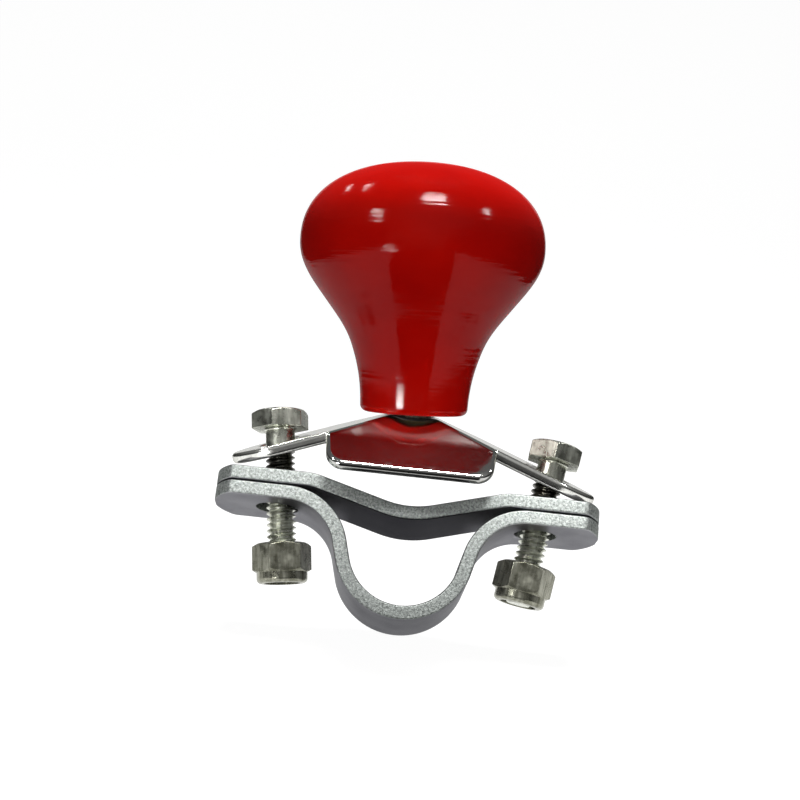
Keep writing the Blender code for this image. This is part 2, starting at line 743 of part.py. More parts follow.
def build():
    clear_scene()
    red = material("knob_red", (0.62, 0.01, 0.008), 0.18, 0.0, 1.0)
    zinc = material("strap_zinc", (0.62, 0.63, 0.63), 0.38, 1.0)
    chrome = material("bridge_chrome", (0.8, 0.8, 0.79), 0.07, 1.0)
    bolt_zinc = material("bolt_zinc", (0.62, 0.62, 0.54), 0.3, 1.0)
    nut_zinc = material("nut_zinc", (0.5, 0.5, 0.43), 0.28, 1.0)
    nylon = material("nylon", (0.75, 0.76, 0.72), 0.5, 0.0)
    brass = material("insert_brass", (0.72, 0.55, 0.25), 0.35, 1.0)

    strap_matrix = Matrix.Rotation(-STRAP_ROCK, 4, "X")
    straps = empty("rim_seat", strap_matrix)
    place("lower_strap", strap_mesh("lower_strap", lower_strap_path()), zinc, straps)
    place("upper_strap", strap_mesh("upper_strap", upper_strap_path()), zinc, straps)

    blank = bridge_blank()
    strap_normal = strap_matrix.to_3x3() @ Vector((0.0, 0.0, 1.0))
    crown = Vector((BRIDGE_SHIFT_X, BRIDGE_SHIFT_Y, bridge_height(blank, strap_normal)))
    bridge_seat = empty("bridge_seat", Matrix.Translation(crown))
    place("bridge", bridge_mesh(blank), chrome, bridge_seat)

    shank = shank_profile([(THREAD_RADIUS, -BOLT_LENGTH)])
    bolt = hex_bolt("clamp_bolt", shank)
    nut = lock_nut_mesh()
    ring = nylon_ring_mesh()
    seam = RIM_SEAT_HEIGHT + SEAT_GAP / 2.0
    clamp_bolts = (
        ("left", -1, NUT_DISTANCE_LEFT, HEAD_TURN_LEFT, NUT_TURN_LEFT),
        ("right", 1, NUT_DISTANCE_RIGHT, HEAD_TURN_RIGHT, NUT_TURN_RIGHT),
    )
    for label, side, nut_distance, head_turn, nut_turn in clamp_bolts:
        low = strap_matrix @ Vector((side * strap_hole_x() + BOLT_FOOT_SHIFT, 0.0, seam))
        ear_normal = Vector((side * sin(ARM_SLOPE), 0.0, cos(ARM_SLOPE)))
        ear_top = crown + ear_hole_centre(side)
        ear_middle = ear_top - ear_normal * (BRIDGE_THICKNESS / 2.0)
        up = (ear_middle - low).normalized()
        lean = acos(up.dot(ear_normal))
        lift = (SEAT_GAP + hex_corner() * sin(lean)) / cos(lean)
        crossing = (ear_top - low).dot(ear_normal) / up.dot(ear_normal)
        under_head = low + up * (crossing + lift)
        axis = empty("bolt_axis_" + label, Matrix.Translation(under_head) @ along(up))
        place("clamp_bolt_" + label, bolt, bolt_zinc, axis, Matrix.Rotation(head_turn, 4, "Z"))
        nut_axis = empty("nut_axis_" + label, Matrix.Translation((0.0, 0.0, -nut_distance)), axis)
        place("lock_nut_" + label, nut, nut_zinc, nut_axis, Matrix.Rotation(nut_turn, 4, "Z"))
        place("nylon_ring_" + label, ring, nylon, nut_axis)

    leaned = Matrix.Rotation(-KNOB_LEAN, 4, "Y")
    middle_height = Matrix.Translation((0.0, 0.0, -BRIDGE_THICKNESS / 2.0))
    pivot_matrix = Matrix.Translation(crown) @ middle_height @ leaned @ middle_height.inverted()
    pivot = empty("knob_pivot", pivot_matrix)
    place("knob", knob_mesh(), red, pivot)
    place("knob_insert", insert_mesh(), brass, pivot)
    washer_bore = PIVOT_SHOULDER_RADIUS + RUNNING_GAP
    thrust = washer_profile(washer_bore, THRUST_WASHER_RADIUS, washer_rise(), thrust_washer_top())
    place("thrust_washer", turn("thrust_washer", thrust, BOLT_SEGMENTS, closed=True), nylon, pivot)
    washer_top = pivot_washer_top()
    flat = washer_profile(washer_bore, THRUST_WASHER_RADIUS, washer_top - PIVOT_WASHER_THICKNESS, washer_top)
    place("pivot_washer", turn("pivot_washer", flat, BOLT_SEGMENTS, closed=True), bolt_zinc, pivot)
    head_matrix = Matrix.Translation((0.0, 0.0, pivot_head_top())) @ Matrix.Rotation(pi, 4, "X")
    pivot_steps = [
        (PIVOT_SHOULDER_RADIUS, -shoulder_length()),
        (THREAD_RADIUS, -shoulder_length() - PIVOT_THREAD_LENGTH),
    ]
    place("pivot_bolt", hex_bolt("pivot_bolt", shank_profile(pivot_steps)), bolt_zinc, pivot, head_matrix)


build()
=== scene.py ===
"""Looks for the steering wheel spinner knob: finer forms, materials, light and camera.

Metres, in the part's own frame: +Z up along the bridge, +X along the straps, +Y away
from the photographed front. The sizes are those of the part's source, but for the wings'
slope. The pieces here are the same forms cut more finely. They add rounded lips on the
holes, rounded edges on the hexagons and the clamp bolts' threads.
"""

import json
from math import asin, ceil, cos, pi, radians, sin, sqrt, tan

import bmesh
import bpy
from mathutils import Matrix, Vector

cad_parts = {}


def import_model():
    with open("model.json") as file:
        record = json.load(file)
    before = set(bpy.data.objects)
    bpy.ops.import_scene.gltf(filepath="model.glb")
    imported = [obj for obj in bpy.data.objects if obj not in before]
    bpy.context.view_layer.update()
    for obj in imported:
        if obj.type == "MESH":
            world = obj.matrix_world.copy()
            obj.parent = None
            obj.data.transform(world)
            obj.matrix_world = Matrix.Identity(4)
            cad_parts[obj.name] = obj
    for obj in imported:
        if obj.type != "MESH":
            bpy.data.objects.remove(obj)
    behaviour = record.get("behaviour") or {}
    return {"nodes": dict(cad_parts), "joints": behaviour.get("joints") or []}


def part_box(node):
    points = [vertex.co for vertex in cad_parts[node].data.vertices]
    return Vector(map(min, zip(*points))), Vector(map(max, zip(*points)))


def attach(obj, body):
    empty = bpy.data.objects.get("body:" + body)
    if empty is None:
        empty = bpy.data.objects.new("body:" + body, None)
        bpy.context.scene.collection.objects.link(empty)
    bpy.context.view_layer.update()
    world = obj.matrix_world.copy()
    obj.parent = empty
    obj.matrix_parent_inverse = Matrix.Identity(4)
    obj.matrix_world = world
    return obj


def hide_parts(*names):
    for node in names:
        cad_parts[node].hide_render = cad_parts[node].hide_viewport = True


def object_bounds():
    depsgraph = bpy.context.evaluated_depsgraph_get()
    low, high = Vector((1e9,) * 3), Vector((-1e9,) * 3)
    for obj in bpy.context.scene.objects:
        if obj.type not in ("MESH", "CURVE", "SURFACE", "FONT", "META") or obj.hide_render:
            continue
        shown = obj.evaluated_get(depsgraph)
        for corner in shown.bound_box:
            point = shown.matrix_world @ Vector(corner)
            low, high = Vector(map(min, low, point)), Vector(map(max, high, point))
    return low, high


MM = 0.001
TINY = 1e-7                    # taken as nothing, in metres
HERE = Matrix.Identity(4)

# Camera, fitted to the photograph
IMAGE_SIZE = 800
CAMERA_DISTANCE = 300.0 * MM
CAMERA_SCALE = 4.68            # pixels per millimetre at the origin
CAMERA_ELEVATION = radians(2.5)
CAMERA_YAW = radians(0.8)
CAMERA_ROLL = radians(6.15)
CAMERA_CLIP_START = 10.0 * MM
ORIGIN_PIXEL = (402.5, 560.0)
SENSOR_WIDTH = 36.0

# Surroundings: how bright they are for all but the camera
ROOM_DARK = 0.05               # near the level and below it
ROOM_GREY = 0.15               # above
ROOM_PATCH = 0.21              # what a soft patch above the camera adds
ROOM_PATCH_WAY = (0.15, -0.8, 0.58)
ROOM_RISE = (0.1, 0.45)        # sines of the elevations between which dark turns to grey
ROOM_PATCH_EDGE = 0.75         # cosine of the patch's half width

# Lamps: the heights over the origin that they point at
KNOB_AIM_HEIGHT = 70.0 * MM
NECK_AIM_HEIGHT = 32.0 * MM
LOW_LAMP_SPREAD = radians(24.0)

# Backdrop
BACKDROP_FLOOR = ((-0.2, 0.16), (0.2, 0.19), (1.05, 0.45))     # y and half the width there
BACKDROP_BEND = 0.25
BACKDROP_WALL_HALF_WIDTH = 0.5
BACKDROP_WALL_HEIGHT = 0.5
BACKDROP_DROP = 0.3 * MM       # how far it lies below the part
BACKDROP_GLOW = 0.94           # its own white, for the camera and in mirrors
BACKDROP_ALBEDO = 0.2          # how much of the light on it comes back

# Dark card before the object: half its width and its y, at its near and far edges
DARK_CARD_HEIGHT = -16.0 * MM
DARK_CARD_NEAR = (30.0 * MM, -25.0 * MM)
DARK_CARD_FAR = (110.0 * MM, -210.0 * MM)

# Colours, dark and light of each finish
BLACK = (0.0, 0.0, 0.0)
WHITE = (1.0, 1.0, 1.0)
KNOB_RED = ((0.45, 0.002, 0.001), (0.60, 0.004, 0.001))
ROLLED_ZINC = ((0.25, 0.25, 0.265), (0.34, 0.34, 0.355))
CUT_ZINC = ((0.19, 0.205, 0.195), (0.66, 0.70, 0.67))
ZINC_TINT = (0.4, 0.4, 0.41)
# one plating: painted shade darkens the wings' reflection, painted light brightens the arms
WING_CHROME_SHADED = (0.54, 0.54, 0.52)
ARM_CHROME_LIT = (0.80, 0.80, 0.76)
CHROME_HAZE = (0.2, 0.2, 0.19)
CHROME_TINT = (0.6, 0.6, 0.58)
BOLT_ZINC = ((0.38, 0.39, 0.33), (0.80, 0.82, 0.72))
NUT_ZINC = ((0.12, 0.12, 0.085), (0.46, 0.46, 0.38))
# painted shade, brown-dark, on one hex face of the right bolt
BROWN_PAINTED_SHADE = (0.07, 0.045, 0.035)
# painted shade on the thread between the bridge's ear and the upper strap
THREAD_PAINTED_SHADE = (0.03, 0.025, 0.02)
NYLON = (0.75, 0.76, 0.72)
# painted shade: the thrust washer, in the tight gap under the knob, is painted dark
SHADED_NYLON = (0.06, 0.05, 0.045)
DARK_BRASS = ((0.14, 0.10, 0.05), (0.24, 0.18, 0.09))

# Where the finishes and the painted light and shade change, along each piece's own axes
STRAP_SHADE_END = 12.0 * MM     # painted shade: the straps' middle, shaded by the bridge and the knob, reaches this far out
STRAP_UNSHADED_START = 22.0 * MM   # and from here out they have their full tone, with no painted shade
STRAP_LIGHT_RIGHT_END = 30.0 * MM   # painted light: the cut edges brighten from the left-hand tone below up to here, on the right
STRAP_LEFT_SHADE = 0.75
STRAP_PAINTED_SHADE = {"lower_strap": (0.7, 0.7), "upper_strap": (0.1, 0.55)}    # painted shade on the middles of the rolled faces and the cut edges: see strap_zinc
SHADED_THREAD_SPAN = (-13.0 * MM, -4.4 * MM)    # painted shade on the thread between the bridge and the upper strap: heights, from the bolt head's underside
SHADED_HEX_FACE = (-0.87, -0.5, 0.0)        # painted shade on one hex face of the right bolt: the way that it looks from the bolt's axis

# Straps
STRAP_ROCK = radians(22.0)
STRAP_WIDTH = 19.0 * MM
STRAP_THICKNESS = 3.0 * MM
STRAP_EDGE_RADIUS = 0.45 * MM
STRAP_EAR_LENGTH = 15.87 * MM
STRAP_END_SAG = 3.8 * MM
STRAP_END_FLAT = 2.4 * MM
STRAP_CORNER_RADIUS = 2.0 * MM
STRAP_HOLE_RADIUS = 4.5 * MM
STRAP_HOLE_REACH = 2.37 * MM
SEAT_GAP = 0.3 * MM
RIM_RADIUS = 11.6 * MM
RIM_SEAT_HEIGHT = 11.3 * MM
LEG_LEAN = radians(15.0)
LOWER_SHOULDER_RADIUS = 13.8 * MM
DIP_SLOPE = radians(15.5)
DIP_DEPTH = 5.0 * MM
DIP_RADIUS = 18.5 * MM
UPPER_SHOULDER_RADIUS = 13.0 * MM
HOLE_EDGE = 0.25 * MM          # the rounded lip of a pierced hole

# Bridge
BRIDGE_SHIFT_X = -0.8 * MM
BRIDGE_SHIFT_Y = 6.9 * MM
BRIDGE_THICKNESS = 2.4 * MM
BRIDGE_WIDTH = 19.0 * MM
BRIDGE_SET_BACK = 1.5 * MM
EAR_HOLE_SPREAD = 1.9 * MM
EAR_HOLE_RADIUS = 4.5 * MM
FOLD_OFFSET = 1.4 * MM
BRIDGE_CROWN_FLAT = 4.0 * MM
BRIDGE_CROWN_RADIUS = 5.0 * MM
ARM_SLOPE = radians(20.2)
WING_HALF_WIDTH = 18.2 * MM
WING_TAPER = 1.0 * MM
WING_SLOPE = radians(44.0)     # 46 in the part's source: this mirrors the knob as photographed
WING_HEIGHT = 10.6 * MM
WING_BEND_RADIUS = 3.2 * MM
WING_CORNER_RADIUS = 3.6 * MM
BRIDGE_EDGE_RADIUS = 0.9 * MM
PIVOT_HOLE_RADIUS = 4.4 * MM

# Clamp bolts and lock nuts
THREAD_RADIUS = 3.175 * MM
THREAD_PITCH = 1.27 * MM
THREAD_DEPTH = 0.68 * MM
NECK_LENGTH = 4.2 * MM
HEX_ACROSS_FLATS = 11.1 * MM
HEX_EDGE = 0.22 * MM
BOLT_HEAD_HEIGHT = 4.0 * MM
BOLT_LENGTH = 31.75 * MM
BOLT_END_CHAMFER = 0.8 * MM
HEX_CHAMFER = radians(30.0)
HEX_END_SHARE = 0.95           # radius of a hexagon's flat end, against half its flats
NUT_HEX_HEIGHT = 6.3 * MM
NUT_COLLAR_HEIGHT = 2.2 * MM
NUT_COLLAR_RADIUS = 5.45 * MM
NUT_LIP_RADIUS = 4.5 * MM
NUT_LIP_OPENING = 3.85 * MM
NUT_EDGE = 0.12 * MM
NUT_DISTANCE = {"left": 24.9 * MM, "right": 23.3 * MM}
HEAD_TURN = {"left": radians(17.0), "right": radians(25.0)}
NUT_TURN = {"left": radians(10.0), "right": radians(-3.0)}

# Knob, with z = 0 on the bridge's crown
KNOB_HEIGHT = 54.0 * MM
KNOB_RADIUS = 26.5 * MM
KNOB_WIDEST_HEIGHT = 36.2 * MM
KNOB_FOOT_RADIUS = 11.7 * MM
KNOB_FOOT_ROUNDING = 1.5 * MM
KNOB_FOOT_LEAN = radians(2.0)
KNOB_KNEE_RADIUS = 14.2 * MM
KNOB_KNEE_HEIGHT = 14.2 * MM
KNOB_KNEE_LEAN = radians(20.0)
KNOB_FLANK_RADIUS = 20.2 * MM
KNOB_FLANK_HEIGHT = 23.6 * MM
KNOB_FLANK_LEAN = radians(37.5)
KNOB_HANDLE_SHARE = 0.36       # length of a curve's handles, against its chord
KNOB_DOME_POWER = 2.25
KNOB_FOOT_GAP = 0.5 * MM
KNOB_RECESS_RADIUS = 7.9 * MM
KNOB_RECESS_DEPTH = 5.0 * MM

# How finely the forms are cut
ARC_STEP = radians(3.0)
CORNER_STEP = radians(5.0)
LIP_STEP = radians(10.0)
EDGE_STEP = radians(22.5)
FILLET_STEP = radians(30.0)
KNOB_SEGMENTS = 180
KNOB_CURVE_STEPS = 18
KNOB_DOME_STEPS = 48
BOLT_SEGMENTS = 64
THREAD_SEGMENTS = 48
BRIDGE_EDGE_STEPS = 6
BEVEL_ANGLE = radians(25.0)    # edges sharper than this are rounded
SMOOTH_ANGLE = radians(35.0)   # edges flatter than this are shaded smooth


# Materials

class Paint:
    """A new material's node tree, with short ways to add and join nodes."""

    def __init__(self, name):
        self.material = bpy.data.materials.new(name)
        self.material.use_nodes = True
        self.tree = self.material.node_tree
        self.shader = self.tree.nodes["Principled BSDF"]
        self.coordinates = self.add("ShaderNodeTexCoord")
        self.place = self.coordinates.outputs["Object"]

    def add(self, kind, **settings):
        node = self.tree.nodes.new(kind)
        for key, value in settings.items():
            setattr(node, key, value)
        return node

    def feed(self, socket, value):
        """Link an output to a socket, or set a plain number or colour on it."""
        if isinstance(value, bpy.types.NodeSocket):
            self.tree.links.new(value, socket)
        elif hasattr(value, "__len__") and socket.type == "RGBA":
            socket.default_value = (*value, 1.0)
        else:
            socket.default_value = value

    def stretched(self, scale):
        mapping = self.add("ShaderNodeMapping")
        self.feed(mapping.inputs["Vector"], self.place)
        mapping.inputs["Scale"].default_value = scale
        return mapping.outputs["Vector"]

    def position(self, axis):
        """How far each point lies along one of its piece's own axes."""
        split = self.add("ShaderNodeSeparateXYZ")
        self.feed(split.inputs[0], self.place)
        return split.outputs[axis]

    def distance(self, axis):
        return self.maths("ABSOLUTE", self.position(axis))

    def noise(self, scale, detail=2.0, roughness=0.5, place=None):
        node = self.add("ShaderNodeTexNoise")
        self.feed(node.inputs["Vector"], place or self.place)
        node.inputs["Scale"].default_value = scale
        node.inputs["Detail"].default_value = detail
        node.inputs["Roughness"].default_value = roughness
        return node.outputs["Fac"]

    def cells(self, scale):
        """A random number for each cell of a fine grain."""
        node = self.add("ShaderNodeTexVoronoi")
        self.feed(node.inputs["Vector"], self.place)
        node.inputs["Scale"].default_value = scale
        split = self.add("ShaderNodeSeparateColor")
        self.feed(split.inputs["Color"], node.outputs["Color"])
        return split.outputs[0]

    def spread(self, value, from_low, from_high, to_low=0.0, to_high=1.0):
        """Map one range to another, and stop at its ends."""
        node = self.add("ShaderNodeMapRange")
        self.feed(node.inputs["Value"], value)
        node.inputs["From Min"].default_value = from_low
        node.inputs["From Max"].default_value = from_high
        node.inputs["To Min"].default_value = to_low
        node.inputs["To Max"].default_value = to_high
        return node.outputs["Result"]

    def mix(self, share, first, second):
        node = self.add("ShaderNodeMix", data_type="RGBA")
        self.feed(node.inputs["Factor"], share)
        self.feed(node.inputs[6], first)
        self.feed(node.inputs[7], second)
        return node.outputs[2]

    def maths(self, operation, first, second=0.0):
        node = self.add("ShaderNodeMath", operation=operation)
        self.feed(node.inputs[0], first)
        self.feed(node.inputs[1], second)
        return node.outputs[0]

    def bump(self, height, strength, distance, under=None):
        node = self.add("ShaderNodeBump")
        self.feed(node.inputs["Height"], height)
        node.inputs["Strength"].default_value = strength
        node.inputs["Distance"].default_value = distance
        if under is not None:
            self.feed(node.inputs["Normal"], under)
        return node.outputs["Normal"]

    def facing(self, direction):
        """1 where the face looks along a direction of its own object, and 0 across it."""
        node = self.add("ShaderNodeVectorMath", operation="DOT_PRODUCT")
        self.feed(node.inputs[0], self.coordinates.outputs["Normal"])
        node.inputs[1].default_value = direction
        return self.maths("ABSOLUTE", node.outputs["Value"])

    def finish(self, inputs):
        for name, value in inputs.items():
            self.feed(self.shader.inputs[name], value)
        return self.material


def knob_paint():
    """Polished red plastic that shows the faint rings of its turning."""
    paint = Paint("knob_paint")
    rings = paint.noise(2000.0, place=paint.stretched((0.02, 0.02, 1.0)))
    ripple = paint.noise(150.0, place=paint.stretched((0.5, 0.5, 1.6)))
    depth = paint.spread(paint.noise(45.0, detail=3.0), 0.3, 0.7)
    wave = paint.bump(ripple, strength=0.45, distance=0.4 * MM)
    return paint.finish({
        "Base Color": paint.mix(depth, *KNOB_RED),
        "Roughness": 0.5,
        "Specular IOR Level": 0.0,
        "Normal": wave,
        "Coat Weight": 0.22,
        "Coat IOR": 1.5,
        "Coat Roughness": 0.09,
        "Coat Normal": paint.bump(rings, strength=0.6, distance=0.1 * MM, under=wave),
    })


def strap_zinc(name, middle, dip):
    """Zinc plated steel: smooth rolled faces, and coarse bright grain on the cut edges.

    middle and dip are how much of the tone is left, as painted shade, on the middle of the rolled
    faces and of the cut edges, under the bridge and the knob. The cut edges are painted lighter
    towards the right.
    """
    paint = Paint(name)
    out = paint.distance("X")
    # painted shade: the straps' middle is darker, where the bridge and the knob shade it
    outward = paint.spread(out, STRAP_SHADE_END, STRAP_UNSHADED_START)
    # painted light: the cut edges are lighter towards the right-hand end
    right = paint.spread(paint.position("X"), 0.0, STRAP_LIGHT_RIGHT_END, STRAP_LEFT_SHADE, 1.0)
    rolled_shade = paint.spread(outward, 0.0, 1.0, middle, 1.0)
    cut_light_and_shade = paint.maths("MULTIPLY", paint.spread(outward, 0.0, 1.0, dip, 1.0), right)

    side = paint.spread(paint.facing((0.0, 1.0, 0.0)), 0.55, 0.85)
    ear = paint.spread(out, ear_start(), ear_start() + MM)
    tip = paint.spread(paint.facing((1.0, 0.0, 0.0)), 0.4, 0.8)
    cut = paint.maths("MAXIMUM", side, paint.maths("MULTIPLY", ear, tip))

    cloud = paint.noise(160.0, detail=4.0, roughness=0.6)
    rolled = paint.mix(paint.spread(cloud, 0.3, 0.7), *ROLLED_ZINC)
    grain = paint.noise(1900.0, detail=3.0, roughness=0.7)
    flake = paint.cells(4200.0)
    sparkle = paint.spread(flake, 0.0, 1.0, 0.5, 1.0)
    speck = paint.maths("MULTIPLY", paint.spread(grain, 0.35, 0.62), sparkle)
    rolled_colour = paint.mix(rolled_shade, BLACK, rolled)
    cut_colour = paint.mix(cut_light_and_shade, BLACK, paint.mix(speck, *CUT_ZINC))
    relief = paint.spread(cut, 0.0, 1.0, 0.15, 1.0)
    height = paint.maths("MULTIPLY", paint.maths("ADD", grain, flake), relief)
    return paint.finish({
        "Base Color": paint.mix(cut, rolled_colour, cut_colour),
        "Metallic": 1.0,
        "Specular Tint": ZINC_TINT,
        "Roughness": paint.spread(cut, 0.0, 1.0, 0.36, 0.56),
        "Normal": paint.bump(height, strength=0.4, distance=0.1 * MM),
    })


def bridge_chrome():
    """Plating on a slightly wavy pressed sheet, with hazy patches.

    It is lighter and satin on the crown and the arms, and darker and glossier on the wings:
    the lighter and darker colours are painted light and painted shade on the one plating.
    """
    paint = Paint("bridge_chrome")
    wave = paint.noise(110.0)
    haze = paint.noise(1500.0, detail=4.0, roughness=0.7)
    flat_edge = BRIDGE_WIDTH / 2.0
    wing = paint.spread(paint.distance("Y"), flat_edge + 0.2 * MM, flat_edge + 1.5 * MM)
    # painted light and shade: the arms' plating is painted lighter and the wings' darker
    plate_lit_and_shaded = paint.mix(wing, ARM_CHROME_LIT, WING_CHROME_SHADED)
    satin = paint.spread(wing, 0.0, 1.0, 0.16, 0.06)
    return paint.finish({
        "Base Color": paint.mix(paint.spread(haze, 0.45, 0.75, 0.0, 0.25), plate_lit_and_shaded, CHROME_HAZE),
        "Metallic": 1.0,
        "Specular Tint": CHROME_TINT,
        "Roughness": paint.maths("ADD", paint.spread(haze, 0.4, 0.75, 0.0, 0.04), satin),
        "Normal": paint.bump(wave, strength=0.12, distance=0.6 * MM),
    })


def fastener_zinc(name, tones, shade_span=None, shaded_face_way=None):
    """Zinc plated hexagons and threads, with drag lines along their axis.

    oily gives the heights between which the thread is painted dark, as shade between the bridge
    and the upper strap, and stained the direction of a hex face painted brown-dark, as painted
    shade.
    """
    paint = Paint(name)
    drag = paint.noise(1400.0, detail=3.0, roughness=0.6, place=paint.stretched((1.0, 1.0, 0.12)))
    cloud = paint.noise(420.0, detail=4.0, roughness=0.6)
    share = paint.spread(paint.maths("MULTIPLY", drag, cloud), 0.12, 0.4)
    colour = paint.mix(share, *tones)
    if shaded_face_way is not None:
        # painted shade: one hex face is painted brown-dark
        face_shade = paint.spread(paint.facing(shaded_face_way), 0.8, 0.95, 0.0, 0.45)
        colour = paint.mix(face_shade, colour, BROWN_PAINTED_SHADE)
    if shade_span is not None:
        # painted shade: the thread is darker between the bridge and the upper strap, where they
        # shade it
        low, high = shade_span
        height = paint.position("Z")
        above_low = paint.spread(height, low, low + 1.5 * MM)
        below_high = paint.spread(height, high - 0.4 * MM, high, 1.0, 0.0)
        thread_shade = paint.spread(paint.maths("MULTIPLY", above_low, below_high), 0.0, 1.0, 0.0, 0.85)
        colour = paint.mix(thread_shade, colour, THREAD_PAINTED_SHADE)
    return paint.finish({
        "Base Color": colour,
        "Metallic": 1.0,
        "Roughness": paint.spread(cloud, 0.3, 0.7, 0.2, 0.38),
        "Normal": paint.bump(drag, strength=0.4, distance=0.1 * MM),
    })


def moulded_plastic(name, colour):
    """A slightly cloudy plastic."""
    paint = Paint(name)
    cloud = paint.noise(300.0, detail=3.0)
    shade = tuple(channel * 0.85 for channel in colour)
    return paint.finish({
        "Base Color": paint.mix(cloud, shade, colour),
        "Roughness": 0.45,
        "Normal": paint.bump(cloud, strength=0.15, distance=0.2 * MM),
    })


def turned_brass():
    """Brass gone dark with grease and age, with the rings of its turning."""
    paint = Paint("turned_brass")
    rings = paint.noise(900.0, detail=3.0, roughness=0.6, place=paint.stretched((0.05, 0.05, 1.0)))
    return paint.finish({
        "Base Color": paint.mix(rings, *DARK_BRASS),
        "Metallic": 1.0,
        "Roughness": 0.3,
        "Normal": paint.bump(rings, strength=0.3, distance=0.2 * MM),
    })


# Meshes

def arc_points(centre, radius, start, end, step=ARC_STEP):
    """Points on an arc, both ends included. Angles are from the first axis."""
    count = max(1, ceil(abs(end - start) / step - 1e-6))
    points = []
    for index in range(count + 1):
        angle = start + (end - start) * index / count
        points.append((centre[0] + radius * cos(angle), centre[1] + radius * sin(angle)))
    return points


def made_mesh(name, builder):
    """Turn a bmesh into a mesh with its faces outward."""
    bmesh.ops.recalc_face_normals(builder, faces=builder.faces)
    mesh = bpy.data.meshes.new(name)
    builder.to_mesh(mesh)
    builder.free()
    return mesh


def link(made):
    bpy.context.scene.collection.objects.link(made)
    return made


def join_rows(builder, near, far, closed=False):
    """Faces between two rows of points, and from their ends to their starts if closed."""
    for index in range(len(near) if closed else len(near) - 1):
        after = (index + 1) % len(near)
        builder.faces.new((near[index], near[after], far[after], far[index]))


def turn(name, profile, segments):
    """Turn an open profile of (radius, height) points round Z, closed on the axis."""
    builder = bmesh.new()
    rings = []
    for radius, height in profile:
        if radius < TINY:
            rings.append([builder.verts.new((0.0, 0.0, height))])
            continue
        ring = []
        for index in range(segments):
            angle = 2.0 * pi * (index + 0.5) / segments
            ring.append(builder.verts.new((radius * cos(angle), radius * sin(angle), height)))
        rings.append(ring)
    for low, high in zip(rings, rings[1:]):
        if len(low) == len(high):
            join_rows(builder, low, high, closed=True)
            continue
        for index in range(segments):
            after = (index + 1) % segments
            if len(low) == 1:
                builder.faces.new((low[0], high[after], high[index]))
            else:
                builder.faces.new((low[index], low[after], high[0]))
    return made_mesh(name, builder)


def prism(name, outline, bottom, top):
    """A straight block over a plan outline of (x, y) points."""
    builder = bmesh.new()
    floor = builder.faces.new([builder.verts.new((x, y, bottom)) for x, y in outline])
    grown = bmesh.ops.extrude_face_region(builder, geom=[floor])
    for item in grown["geom"]:
        if isinstance(item, bmesh.types.BMVert):
            item.co.z = top
    return made_mesh(name, builder)


def helper_object(mesh, matrix):
    made = link(bpy.data.objects.new("helper", mesh))
    made.matrix_world = matrix
    return made


def worked(mesh, cuts=(), bevel=None, segments=3):
    """A new mesh, cut and joined, with its edges rounded."""
    subject = helper_object(mesh, HERE)
    helpers = []
    for operation, other, matrix in cuts:
        helper = helper_object(other, matrix)
        helpers.append(helper)
        cut = subject.modifiers.new(operation.lower(), "BOOLEAN")
        cut.operation = operation
        cut.solver = "MANIFOLD"
        cut.object = helper
    if bevel is not None:
        soften = subject.modifiers.new("edges", "BEVEL")
        soften.width = bevel
        soften.segments = segments
        soften.limit_method = "ANGLE"
        soften.angle_limit = BEVEL_ANGLE
    bpy.context.view_layer.update()
    depsgraph = bpy.context.evaluated_depsgraph_get()
    result = bpy.data.meshes.new_from_object(subject.evaluated_get(depsgraph))
    result.name = mesh.name
    for leftover in [subject, *helpers]:
        bpy.data.objects.remove(leftover, do_unlink=True)
    return result


def add_piece(name, mesh, matrix, paint, body, replaced):
    """Show a mesh in place of a CAD node, smooth up to an angle."""
    mesh.name = name
    mesh.materials.clear()
    mesh.materials.append(paint)
    mesh.shade_smooth()
    mesh.set_sharp_from_angle(angle=SMOOTH_ANGLE)
    piece = link(bpy.data.objects.new(name, mesh))
    piece.matrix_world = matrix
    even = piece.modifiers.new("even shading", "WEIGHTED_NORMAL")
    even.keep_sharp = True
    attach(piece, body)
    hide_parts(replaced)
    return piece


# Straps

def lower_strap_bends():
    """The lower strap's mid line: seat radius, turn, straight leg and shoulder radius."""
    half = STRAP_THICKNESS / 2.0
    seat = RIM_RADIUS + half
    shoulder = LOWER_SHOULDER_RADIUS - half
    swing = pi / 2.0 - LEG_LEAN
    ear = RIM_SEAT_HEIGHT - half
    leg = (ear + seat * cos(swing) - shoulder * (1.0 - cos(swing))) / sin(swing)
    return seat, swing, leg, shoulder


def ear_start():
    """Where the straps' flat ears start, along X: at the end of the lower strap's shoulder."""
    seat, swing, leg, shoulder = lower_strap_bends()
    return (seat + shoulder) * sin(swing) + leg * cos(swing)


def strap_half_length():
    return ear_start() + STRAP_EAR_LENGTH


def strap_hole_x():
    return ear_start() + STRAP_HOLE_REACH


def strap_half_path(start, bends):
    """Mid line of half a strap, from the middle out to its flat ear, as (x, z, heading)."""
    x, z = start
    heading = 0.0
    path = [(x, z, heading)]
    for radius, angle, run in bends:
        side = 1.0 if angle > 0 else -1.0
        centre = (x - side * radius * sin(heading), z + side * radius * cos(heading))
        count = ceil(abs(angle) / ARC_STEP)
        for index in range(1, count + 1):
            now = heading + angle * index / count
            across = centre[0] + side * radius * sin(now)
            path.append((across, centre[1] - side * radius * cos(now), now))
        heading += angle
        x, z = path[-1][0], path[-1][1]
        if run > 0:
            x += run * cos(heading)
            z += run * sin(heading)
            path.append((x, z, heading))
    return path


